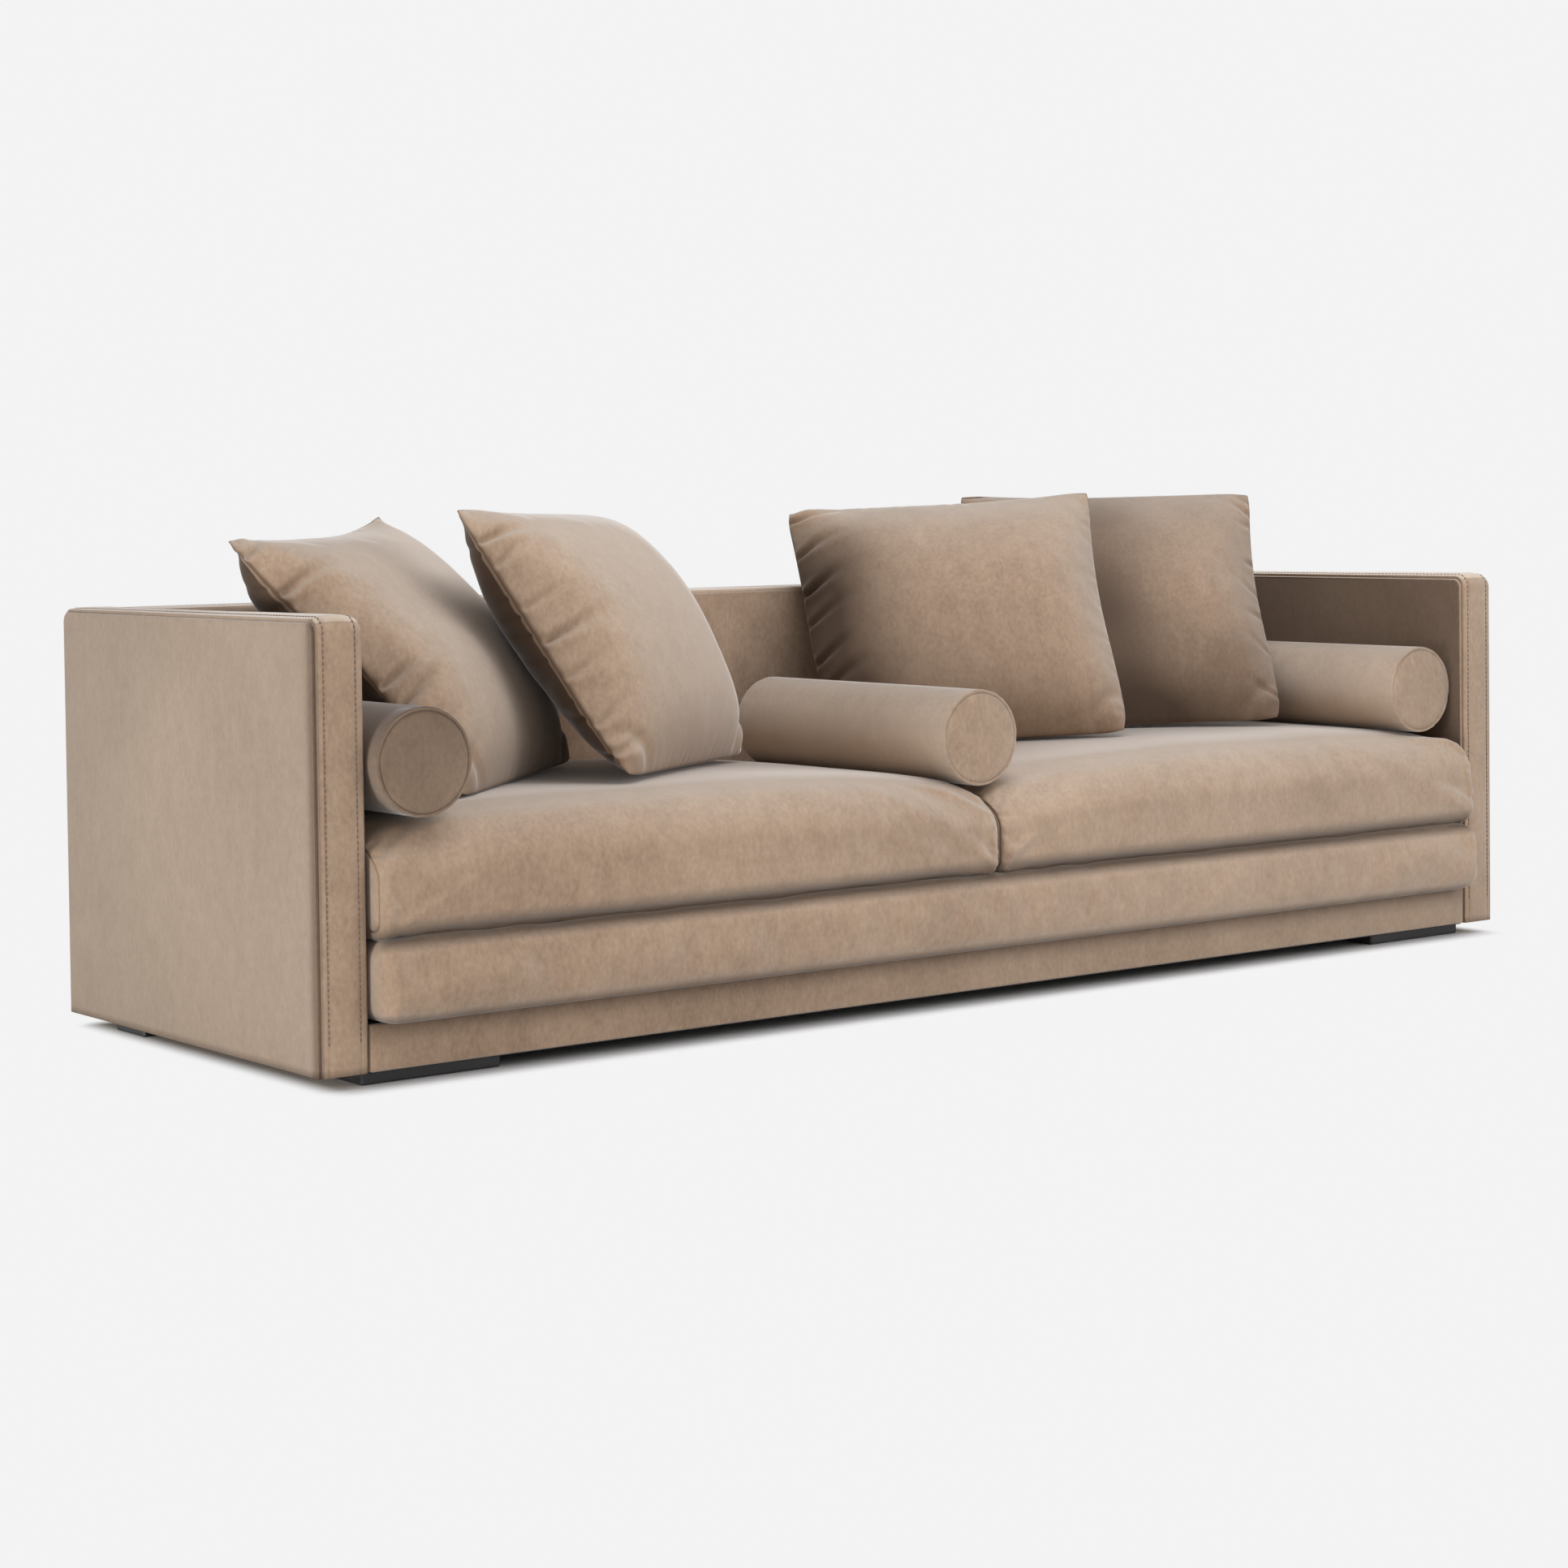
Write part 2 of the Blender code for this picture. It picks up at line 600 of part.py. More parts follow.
def make_seat(side, name, parent):
    """One seat cushion: crowned top, round front that falls away, slightly bowed front."""
    half = ((INNER - 3 * SEAT_SIDE_ROOM) / 2, (BACK_FACE - GAP - FRONT) / 2, SEAT_HEIGHT / 2)
    centre = Vector((side * (SEAT_SIDE_ROOM + half[0]), FRONT + half[1], PAD_TOP + GAP + half[2]))

    def shape(point):
        across = point.x / half[0]
        along = point.y / half[1]
        upper = max(0.0, (point.z + half[2]) / SEAT_HEIGHT)
        fall = max(0.0, 1 - (point.y + half[1]) / SEAT_FRONT_DROP_LENGTH)
        at_arm = across * side > 0
        crown = SEAT_ARM_CROWN * across ** 4 if at_arm else SEAT_CROWN * abs(across) ** 2.5
        crown += SEAT_CROWN_DEPTH * abs(along) ** 3
        drop = crown + SEAT_FRONT_DROP * fall ** 2
        bow = SEAT_FRONT_BOW * across ** 2 * max(0.0, -along) ** 3
        return Vector((point.x, point.y + bow, point.z - drop * upper))

    bm = soft_box(half, SEAT_ROUND, (10, 7, 2), shape)
    seat = add_part(name, bm, VELOUR, parent, smooth_angle=60)
    seat.location = centre
    return seat


def pillow_mesh(front_swell, rear_swell, left_draw, left_tuck):
    """A knife-edge pillow: two crowned panels, a seam drawn in between corners, a straight lower edge."""
    bm = bmesh.new()
    steps = PILLOW_STEPS
    grid = [-math.cos(math.pi * index / steps) for index in range(steps + 1)]
    edge_points = {}

    def point(i, j, way):
        a = grid[i]
        b = grid[j]
        on_edge = i in (0, steps) or j in (0, steps)
        key = (i, j, 0 if on_edge else way)
        if key not in edge_points:
            draw, tuck = (left_draw, left_tuck) if a < 0 else (PILLOW_DRAW_IN, PILLOW_TUCK)
            x = a * PILLOW_WIDTH / 2 * (1 - draw * (1 - b * b) * a * a - tuck * max(0.0, -b) ** 3)
            bow = 1 - a * a if b > 0 else 1.0
            z = b * PILLOW_HEIGHT / 2 * (1 - PILLOW_DRAW_IN * bow * b * b)
            swell = 0.0 if on_edge else ((1 - a * a) * (1 - b * b)) ** PILLOW_FULLNESS
            depth = front_swell if way < 0 else rear_swell
            edge_points[key] = bm.verts.new((x, way * swell * depth, z))
        return edge_points[key]

    for way in (-1, 1):
        for i in range(steps):
            for j in range(steps):
                corners = ((i, j), (i + 1, j), (i + 1, j + 1), (i, j + 1))
                bm.faces.new([point(*corner, way) for corner in corners])
    return bm


def bolster_mesh():
    """A round bolster along Y: turned body with eased rims and slightly domed ends."""
    half = BOLSTER_LENGTH / 2
    side = [(0.0, -half), (BOLSTER_RADIUS * 0.55, -half + BOLSTER_DOME * 0.3)]
    for angle in (0, 45, 90):
        turn = math.radians(angle)
        side.append((BOLSTER_RADIUS - BOLSTER_EDGE + BOLSTER_EDGE * math.sin(turn),
                     -half + BOLSTER_DOME + BOLSTER_EDGE * (1 - math.cos(turn))))
    side.append((BOLSTER_RADIUS, 0.0))
    return turned(side + [(radius, -y) for radius, y in reversed(side[:-1])], BOLSTER_SIDES)


def solid_of(part):
    """World points and faces of a placed part, for measuring how far it can travel."""
    points = [part.matrix_basis @ vertex.co for vertex in part.data.vertices]
    faces = [list(polygon.vertices) for polygon in part.data.polygons]
    return points, faces


def box_solid(low, high):
    """World points and faces of a plain box."""
    bm = bmesh.new()
    add_box(bm, low, high)
    bm.verts.index_update()
    points = [vertex.co.copy() for vertex in bm.verts]
    faces = [[vertex.index for vertex in face.verts] for face in bm.faces]
    bm.free()
    return points, faces


def free_travel(mover, others, direction):
    """How far a solid can move along a direction before it meets one of the others."""
    direction = Vector(direction).normalized()
    mover_tree = BVHTree.FromPolygons(*mover)
    shortest = math.inf
    for other in others:
        other_tree = BVHTree.FromPolygons(*other)
        for tree, points, way in ((other_tree, mover[0], direction), (mover_tree, other[0], -direction)):
            for point in points:
                distance = tree.ray_cast(point, way)[3]
                if distance is not None:
                    shortest = min(shortest, distance)
    return shortest


def set_down(part, others):
    """Lower a part until it rests on the others."""
    part.location.z += 1.0
    part.location.z -= free_travel(solid_of(part), others, (0, 0, -1)) - GAP


def lean_back(part, others, seat, push):
    """Push a pillow along a level direction until it all but meets something, then set it down."""
    set_down(part, seat)
    part.location += push * (free_travel(solid_of(part), others, push) - LEAN_CLEARANCE)
    set_down(part, seat)


# Each pillow: seat side, centre before it is pushed back, then push, turn, lean and spin in degrees,
# swell of its front and its rear, and draw-in and tuck of its left side.
# The left pair is pushed into its corner, the right pair against the back.
PILLOWS = {
    "pillow_left_back": (-1, (-INNER + LEFT_BACK_FROM_ARM, BACK_FACE - LEFT_BACK_FROM_BACK),
                         37.0, 37.0, 40.0, 1.6, FREE_SWELL, FLAT_SWELL, SIDE_PRESS, PILLOW_TUCK),
    "pillow_left_front": (-1, (-INNER + LEFT_FRONT_FROM_ARM, BACK_FACE - LEFT_FRONT_FROM_BACK),
                          34.0, 34.0, 33.5, -1.0, FREE_SWELL, PRESSED_SWELL, PILLOW_DRAW_IN, PILLOW_TUCK),
    "pillow_right_back": (1, (INNER - RIGHT_BACK_FROM_ARM, BACK_FACE - RIGHT_BACK_FROM_BACK),
                          0.0, -31.0, 33.0, 1.0, PRESSED_SWELL, PRESSED_SWELL, PILLOW_DRAW_IN, PILLOW_TUCK),
    "pillow_right_front": (1, (RIGHT_FRONT_FROM_SEAM, BACK_FACE - RIGHT_FRONT_FROM_BACK),
                           16.0, -30.0, 31.0, 2.0, FREE_SWELL, PRESSED_SWELL, PILLOW_DRAW_IN, CORNER_TUCK),
}


def make_loose_pieces():
    """Seat cushions, bolsters and pillows, each set down on what carries it."""
    groups = {}
    seats = {}
    for side, word in ((-1, "left"), (1, "right")):
        groups[side] = bpy.data.objects.new("seat_group_" + word, None)
        bpy.context.scene.collection.objects.link(groups[side])
        seats[side] = make_seat(side, "seat_cushion_" + word, groups[side])
    seat_solids = {side: solid_of(seat) for side, seat in seats.items()}

    beside_arm = INNER - BOLSTER_ARM_ROOM - BOLSTER_RADIUS
    bolsters = {}
    for word, side, x, start in (("left", -1, -beside_arm, LEFT_BOLSTER_FROM_ARM_FRONT),
                                 ("middle", 1, MIDDLE_BOLSTER_FROM_SEAM, MIDDLE_BOLSTER_FROM_ARM_FRONT),
                                 ("right", 1, beside_arm, RIGHT_BOLSTER_FROM_ARM_FRONT)):
        bolster = add_part("bolster_" + word, bolster_mesh(), VELOUR, groups[side], smooth_angle=50)
        bolster.location = (x, ARM_FRONT + start + BOLSTER_LENGTH / 2, PAD_TOP + SEAT_HEIGHT)
        set_down(bolster, list(seat_solids.values()))
        bolsters[word] = solid_of(bolster)

    walls = [box_solid((-HALF, BACK_FACE, FRAME_BOTTOM), (HALF, REAR, SHELL_TOP)),
             box_solid((-HALF, ARM_FRONT, FRAME_BOTTOM), (-INNER, REAR, SHELL_TOP)),
             box_solid((INNER, ARM_FRONT, FRAME_BOTTOM), (HALF, REAR, SHELL_TOP))]
    behind = {-1: walls + [bolsters["left"], bolsters["middle"]],
              1: walls + [bolsters["middle"], bolsters["right"]]}
    for name, (side, place, push, turn, lean, spin, *form) in PILLOWS.items():
        pillow = add_part(name, pillow_mesh(*form), VELOUR, groups[side], smooth_angle=75)
        pillow.rotation_mode = "XYZ"
        facing = Matrix.Rotation(math.radians(turn), 4, "Z")
        tilt = Matrix.Rotation(math.radians(-lean), 4, "X")
        roll = Matrix.Rotation(math.radians(-spin), 4, "Y")
        pillow.rotation_euler = (facing @ tilt @ roll).to_euler()
        pillow.location = (*place, PAD_TOP + SEAT_HEIGHT + PILLOW_HEIGHT / 2)
        way = Matrix.Rotation(math.radians(push), 3, "Z") @ Vector((0, 1, 0))
        lean_back(pillow, behind[side], [seat_solids[side]], way)
        behind[side].append(solid_of(pillow))
        print(name, "centre", [round(value, 4) for value in pillow.location])


make_feet()
make_base_box()
make_seat_webbing()
make_arm(-1, "left_arm")
make_arm(1, "right_arm")
make_back()
make_pad()
make_loose_pieces()
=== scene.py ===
# %% [markdown]
# # Dressing a long velour sofa
#
# A sofa is a hard frame with soft things on it. The hard frame, and a plain solid for every soft thing,
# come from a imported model. This lesson loads that model and keeps it still. It then puts a studio round
# it and gives every soft solid a sewn and stuffed piece in its place, and every bare part a finish of its
# own.

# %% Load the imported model
import math
import random

import bmesh
import bpy
import numpy as np
from mathutils import Matrix, Vector, noise


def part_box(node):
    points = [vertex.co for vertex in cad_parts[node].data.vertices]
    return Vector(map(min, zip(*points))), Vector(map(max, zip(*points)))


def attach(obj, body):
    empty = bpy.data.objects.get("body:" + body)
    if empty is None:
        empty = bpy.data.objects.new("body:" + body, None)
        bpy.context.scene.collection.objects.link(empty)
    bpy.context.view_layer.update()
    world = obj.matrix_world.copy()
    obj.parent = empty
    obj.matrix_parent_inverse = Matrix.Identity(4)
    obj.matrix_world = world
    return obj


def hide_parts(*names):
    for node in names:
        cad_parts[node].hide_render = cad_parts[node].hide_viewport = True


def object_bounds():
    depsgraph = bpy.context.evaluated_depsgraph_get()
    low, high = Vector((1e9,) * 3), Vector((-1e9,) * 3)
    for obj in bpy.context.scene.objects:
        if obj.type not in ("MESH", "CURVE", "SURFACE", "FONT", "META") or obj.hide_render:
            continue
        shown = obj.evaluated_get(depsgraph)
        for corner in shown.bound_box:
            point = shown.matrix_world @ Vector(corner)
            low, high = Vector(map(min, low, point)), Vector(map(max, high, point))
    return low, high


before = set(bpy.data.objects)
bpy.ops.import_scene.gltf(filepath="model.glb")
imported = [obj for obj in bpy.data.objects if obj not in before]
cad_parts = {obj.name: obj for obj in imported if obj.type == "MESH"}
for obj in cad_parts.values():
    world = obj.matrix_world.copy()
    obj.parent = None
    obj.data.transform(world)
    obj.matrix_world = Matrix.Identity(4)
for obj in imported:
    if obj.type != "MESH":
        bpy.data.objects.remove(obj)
model_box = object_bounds()
print("nodes", len(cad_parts), "box", [round(v, 3) for v in (*model_box[0], *model_box[1])])

# %% [markdown]
# ## The camera
#
# The picture was taken from the front left, a little above the arms, with a long lens held almost level.
# A camera could be aimed with a constraint, but three turns are plainer: a slight roll, up from looking
# at the floor, and round to the right. The lens is slid down a little, as on a view camera, so that
# upright edges stay upright.

# %% Camera
EYE = Vector((-3.588, -4.4805, 0.8613))
YAW = math.radians(37.65)
PITCH = math.radians(1.87)
ROLL = math.radians(-0.70)
SENSOR_MM = 36
LENS_MM = 73.74
LENS_SLIDE = -0.117

camera = bpy.data.objects.new("camera", bpy.data.cameras.new("camera"))
bpy.context.scene.collection.objects.link(camera)
raised = Matrix.Rotation(math.pi / 2 - PITCH, 4, "X") @ Matrix.Rotation(ROLL, 4, "Z")
camera.matrix_world = Matrix.Translation(EYE) @ Matrix.Rotation(-YAW, 4, "Z") @ raised
camera.data.sensor_width = SENSOR_MM
camera.data.lens = LENS_MM
camera.data.shift_y = LENS_SLIDE
bpy.context.scene.camera = camera
print("camera at", [round(v, 2) for v in EYE], "lens", LENS_MM)

# %% [markdown]
# ## Working with operators from code
#
# By hand you would click on edges and press a key. In code the same operators run on whatever is
# selected, so each step first lets go of everything and then picks edges, faces or points by where they
# are. These few helpers do that: a block of a given size, picking by a test, and cutting a block into
# even strips.

# %% Helpers for modelling
KINDS = {"VERT": "verts", "EDGE": "edges", "FACE": "faces"}
NEAR = 0.001
TINY = 1e-9
SHARP = math.radians(60)


def let_go():
    """Leave edit mode and deselect everything."""
    if bpy.context.object and bpy.context.object.mode != "OBJECT":
        bpy.ops.object.mode_set(mode="OBJECT")
    bpy.ops.object.select_all(action="DESELECT")


def take(piece):
    """Make one piece the only selected and active one."""
    let_go()
    piece.select_set(True)
    bpy.context.view_layer.objects.active = piece


def settle(name):
    """Name the new active object and put its place into its mesh."""
    piece = bpy.context.object
    piece.name = name
    piece.data.name = name
    bpy.ops.object.transform_apply(location=True, rotation=True, scale=True)
    return piece


def block(name, low, high):
    """A box between two corners."""
    let_go()
    bpy.ops.mesh.primitive_cube_add(size=1, location=(low + high) / 2)
    bpy.context.object.scale = high - low
    return settle(name)


def pick(piece, kind, test):
    """In edit mode, select the points, edges or faces that pass a test."""
    if bpy.context.object != piece or piece.mode != "EDIT":
        take(piece)
        bpy.ops.object.mode_set(mode="EDIT")
    bpy.ops.mesh.select_mode(type=kind)
    bpy.ops.mesh.select_all(action="DESELECT")
    cage = bmesh.from_edit_mesh(piece.data)
    cage.normal_update()
    for item in [item for item in getattr(cage, KINDS[kind]) if test(item)]:
        item.select_set(True)
    cage.select_flush_mode()
    bmesh.update_edit_mesh(piece.data)


def runs_along(edge, axis):
    """True for an edge parallel to an axis."""
    way = (edge.verts[1].co - edge.verts[0].co).normalized()
    return abs(way[axis]) > 0.999


def middle(edge):
    """Midpoint of an edge."""
    return (edge.verts[0].co + edge.verts[1].co) / 2


def slice_along(piece, axis, cuts, longer_than=0.05):
    """Cut every long edge that runs along an axis, which slices the block into even strips."""
    pick(piece, "EDGE", lambda e: runs_along(e, axis) and e.calc_length() > longer_than)
    bpy.ops.mesh.subdivide(number_cuts=cuts)


def bevel(width, segments):
    """Round the picked edges."""
    bpy.ops.mesh.bevel(offset=width, segments=segments, profile=0.5, affect="EDGES")


def round_sharp(piece, width, segments):
    """Round every sharp edge of a piece."""
    pick(piece, "EDGE", lambda e: False)
    bpy.ops.mesh.edges_select_sharp(sharpness=SHARP)
    bevel(width, segments)


def apply_modifiers(piece):
    """Apply every modifier of a piece, first to last."""
    take(piece)
    for modifier in list(piece.modifiers):
        bpy.ops.object.modifier_apply(modifier=modifier.name)


print("helpers for modelling ready")

# %% [markdown]
# ## Moving points by a rule
#
# A sculpting brush pushes points along their normals. The same is done here with rows of numbers, one row
# for each point: where it is, which way it faces, and how far a rule such as soft noise wants it to move.

# %% Helpers for points
def rows_from(items, word, width=3):
    """One value of every item of a mesh, as rows."""
    flat = np.zeros(len(items) * width, np.float32)
    items.foreach_get(word, flat)
    return flat.reshape(-1, width).astype(float)


def points_of(piece):
    """Points of a mesh as rows of x, y, z."""
    return rows_from(piece.data.vertices, "co")


def normals_of(piece):
    """Point normals of a mesh as rows of x, y, z."""
    return rows_from(piece.data.vertex_normals, "vector")


def net_of(piece):
    """Leave edit mode, and return the points of a piece and their normals."""
    take(piece)
    return points_of(piece), normals_of(piece)


def move_points(piece, rows):
    """Put the points of a mesh where the rows say."""
    piece.data.vertices.foreach_set("co", rows.astype(np.float32).ravel())
    piece.data.update()


def unit(rows):
    """Rows brought to a length of 1."""
    return rows / np.maximum(np.linalg.norm(rows, axis=1), TINY)[:, None]


def share(value):
    """A value kept between 0 and 1."""
    return np.clip(value, 0, 1)


def drift(rows, size, seed):
    """Smooth noise between -1 and 1 at each point; size is the width of its waves in metres."""
    shift = Vector((seed * 3.17, seed * 1.93, seed * 2.71))
    return np.array([noise.noise(Vector(row) / size + shift) for row in rows])


print("helpers for points ready")

# %% [markdown]
# ## Studio: floor, backdrop and light
#
# The photograph has a seamless pale backdrop with only a soft shadow under the sofa. A real studio lights
# the backdrop apart from the product. Here the floor is a plain pale surface near the sofa, where it
# takes the shadow, and fades into the tone of the backdrop further out. That tone is shown to camera rays
# only, so it never lights the sofa.

# %% Backdrop and floor
BACKDROP = (0.896, 0.896, 0.896, 1)
FLOOR_TONE = (0.80, 0.80, 0.80, 1)
FLOOR_SIZE = 40.0
FADE_INSIDE = 0.05
FADE_END = 0.060


def feed(tree, made, **settings):
    """Set a node's inputs, from a value or a socket; a key that is no input is a property."""
    for key, value in settings.items():
        name = key.replace("_", " ")
        if name not in made.inputs:
            setattr(made, key, value)
        elif isinstance(value, bpy.types.NodeSocket):
            tree.links.new(value, made.inputs[name])
        else:
            made.inputs[name].default_value = value
    return made


def node(tree, kind, **settings):
    """Add a node and set it."""
    return feed(tree, tree.nodes.new(kind), **settings)


def maths(tree, operation, first, second=None):
    """A Math node fed by a socket or a number on each side."""
    made = node(tree, "ShaderNodeMath", operation=operation)
    for index, value in enumerate((first, second)):
        if isinstance(value, bpy.types.NodeSocket):
            tree.links.new(value, made.inputs[index])
        elif value is not None:
            made.inputs[index].default_value = value
    return made.outputs[0]


def seen_directly(tree):
    """1 for a ray that shows the backdrop to the camera, straight or by a mirror or glass."""
    path = tree.nodes.new("ShaderNodeLightPath")
    either = maths(tree, "MAXIMUM", path.outputs["Is Camera Ray"], path.outputs["Is Glossy Ray"])
    return maths(tree, "MAXIMUM", either, path.outputs["Is Transmission Ray"])


def show_backdrop(tree, lit, shown, amount, output):
    """Lay the tone of the backdrop over a lit shader by an amount."""
    mix = tree.nodes.new("ShaderNodeMixShader")
    for index, socket in enumerate((amount, lit.outputs[0], shown.outputs[0])):
        tree.links.new(socket, mix.inputs[index])
    node(tree, output, Surface=mix.outputs[0])


def studio_floor():
    """A large pale floor that fades into the backdrop away from the sofa."""
    let_go()
    bpy.ops.mesh.primitive_plane_add(size=FLOOR_SIZE)
    floor = settle("floor")
    look = bpy.data.materials.new("floor")
    look.use_nodes = True
    tree = look.node_tree
    tree.nodes.clear()
    place = tree.nodes.new("ShaderNodeTexCoord").outputs["Object"]
    apart = node(tree, "ShaderNodeSeparateXYZ", Vector=place)
    beyond = []
    for axis, edge in (("X", model_box[1].x), ("Y", model_box[1].y)):
        outside = maths(tree, "SUBTRACT", maths(tree, "ABSOLUTE", apart.outputs[axis]), edge - FADE_INSIDE)
        beyond.append(maths(tree, "POWER", maths(tree, "MAXIMUM", outside, 0.0), 2.0))
    away = maths(tree, "SQRT", maths(tree, "ADD", *beyond))
    fade = node(tree, "ShaderNodeMapRange", interpolation_type="SMOOTHSTEP", Value=away, From_Max=FADE_END)
    amount = maths(tree, "MULTIPLY", fade.outputs["Result"], seen_directly(tree))
    matt = node(tree, "ShaderNodeBsdfDiffuse", Color=FLOOR_TONE)
    glow = node(tree, "ShaderNodeEmission", Color=BACKDROP, Strength=1.0)
    show_backdrop(tree, matt, glow, amount, "ShaderNodeOutputMaterial")
    floor.data.materials.append(look)


studio_floor()
print("floor", FLOOR_SIZE, "m square, fades by", FADE_END, "m")

# %% Light
SKY_TONE = (1.0, 0.980, 0.950, 1)
SKY_STRENGTH = 0.50
COOL = (0.93, 0.98, 1.07)
PLAIN = (1.0, 1.0, 1.0)
LAMPS = {
    "overhead_right": ((1.9, -0.3, 3.2), (0.3, -0.2, 0.3), 2.2, 18, COOL),
    "overhead": ((0.0, -0.9, 3.4), (0.0, -0.2, 0.3), 2.4, 68, COOL),
    "key": ((3.2, -4.6, 2.6), (0.2, -0.3, 0.3), 2.4, 75, PLAIN),
    "low_left": ((-3.4, -0.7, 0.25), (-1.3, 0.0, 0.35), 0.6, 28, PLAIN),
}


def studio_sky():
    """Even pale light from all round; the camera sees the backdrop tone instead."""
    world = bpy.data.worlds.new("studio")
    bpy.context.scene.world = world
    world.use_nodes = True
    tree = world.node_tree
    tree.nodes.clear()
    soft = node(tree, "ShaderNodeBackground", Color=SKY_TONE, Strength=SKY_STRENGTH)
    back = node(tree, "ShaderNodeBackground", Color=BACKDROP, Strength=1.0)
    show_backdrop(tree, soft, back, seen_directly(tree), "ShaderNodeOutputWorld")


def lamp(name, spot, aim, size, watts, tint):
    """A square soft box that looks at a point."""
    light = bpy.data.lights.new(name, "AREA")
    light.energy = watts
    light.size = size
    light.color = tint
    holder = bpy.data.objects.new(name, light)
    holder.location = spot
    holder.rotation_euler = (Vector(aim) - Vector(spot)).to_track_quat("-Z", "Y").to_euler()
    bpy.context.scene.collection.objects.link(holder)


studio_sky()
for name, settings in LAMPS.items():
    lamp(name, *settings)
bpy.context.scene.view_settings.view_transform = "Standard"
print("lamps", sorted(LAMPS), "sky", SKY_STRENGTH)

# %% [markdown]
# ## Velour
#
# Velour is a cloth with a short cut pile. Where a hand has brushed the pile one way it looks paler, and
# darker where it was brushed back, so the cloth is never one even colour. It also glows a little at a
# glancing angle. The patches are wide soft noise, the strokes are noise stretched along the cloth, the
# flecks are small, and the pile itself is very fine noise that also drives the bump. The glow is partly
# the shader's own sheen and partly painted sheen: the colour turns greyer and paler where the surface is
# seen at a glance, and palest at a very flat one. Painted shade and painted highlights come on top. Each
# piece marks them in two attributes of its mesh: one darkens its sunk seams with painted shade, the other
# darkens creases, undersides and places where other parts cast shade with painted shade, partly for the
# pile too, and below zero gives painted highlights.

# %% Velour finish
VELOUR_SHADE = (0.315, 0.214, 0.145, 1)
VELOUR_BODY = (0.405, 0.282, 0.194, 1)
VELOUR_BRUSHED = (0.480, 0.344, 0.244, 1)
# Painted sheen: the greyer, paler tones the colour turns to at a glance, palest at a very flat one.
PAINTED_SHEEN_DARK = (0.372, 0.299, 0.238, 1)
PAINTED_SHEEN_PALE = (0.430, 0.347, 0.277, 1)
PAINTED_SHEEN_FAR = (0.660, 0.585, 0.520, 1)
SHADE_AT, BODY_AT, BRUSHED_AT = 0.38, 0.50, 0.62
PAINTED_SHEEN_SPAN = (0.18, 0.60, 0.85)
FAR_SHEEN_SPAN = (0.82, 0.97, 0.8)
# Scale, detail, stretch, roughness and warp of each noise, and its share of the tone.
VELOUR_NOISE = {
    "patches": (2.6, 3.0, (1.0, 1.0, 1.0), 0.5, 0.4, 0.34),
    "strokes": (34.0, 4.0, (1.0, 1.0, 0.65), 0.65, 0.0, 0.28),
    "flecks": (150.0, 3.0, (1.0, 1.0, 0.6), 0.6, 0.0, 0.29),
    "pile": (850.0, 2.0, (1.0, 1.0, 1.0), 0.5, 0.0, 0.09),
}
# Painted shade and painted highlight: which attribute, the colour it brings, and the values it fades in
# between, with its full share.
PAINTED_LIGHT_MARKS = (
    ("pile_and_painted_light", (0.090, 0.059, 0.040, 1), (0.0, 1.0, 1.0)),
    ("pile_and_painted_light", (0.860, 0.735, 0.610, 1), (0.0, -1.0, 1.0)),
    ("seam", (0.120, 0.078, 0.052, 1), (0.4, 1.0, 0.8)),
)


def noise_field(tree, place, scale, detail, stretch=(1, 1, 1), rough=0.5, warp=0.0):
    """Noise on Object coordinates, stretched by a Mapping node."""
    mapping = node(tree, "ShaderNodeMapping", Vector=place, Scale=stretch)
    return node(tree, "ShaderNodeTexNoise", Vector=mapping.outputs[0], Scale=scale, Detail=detail,
                Roughness=rough, Distortion=warp).outputs["Fac"]


def ramp(tree, value, stops):
    """A colour ramp with the given stops."""
    made = node(tree, "ShaderNodeValToRGB", Fac=value)
    keys = made.color_ramp.elements
    while len(keys) < len(stops):
        keys.new(0.5)
    for key, (spot, colour) in zip(keys, stops):
        key.position = spot
        key.color = colour
    return made.outputs["Color"]


def bump(tree, height, strength, distance, **under):
    """A Bump node, laid over another one if its Normal is given."""
    made = node(tree, "ShaderNodeBump", Height=height, Strength=strength, Distance=distance, **under)
    return made.outputs["Normal"]


def span(tree, value, low, high, most, least=0.0):
    """Stretch a value from low..high to least..most, and stop at both ends."""
    return node(tree, "ShaderNodeMapRange", Value=value, From_Min=low, From_Max=high,
                To_Min=least, To_Max=most).outputs["Result"]


def blend(tree, under, over, amount):
    """Lay a colour, plain or from a socket, over another colour by an amount."""
    made = node(tree, "ShaderNodeMix", data_type="RGBA", Factor=amount)
    tree.links.new(under, made.inputs[6])
    if isinstance(over, bpy.types.NodeSocket):
        tree.links.new(over, made.inputs[7])
    else:
        made.inputs[7].default_value = over
    return made.outputs[2]


def start_finish(name):
    """A new material with its tree, its Object coordinates and its shader."""
    look = bpy.data.materials.new(name)
    look.use_nodes = True
    tree = look.node_tree
    place = tree.nodes.new("ShaderNodeTexCoord").outputs["Object"]
    return look, tree, place, tree.nodes["Principled BSDF"]


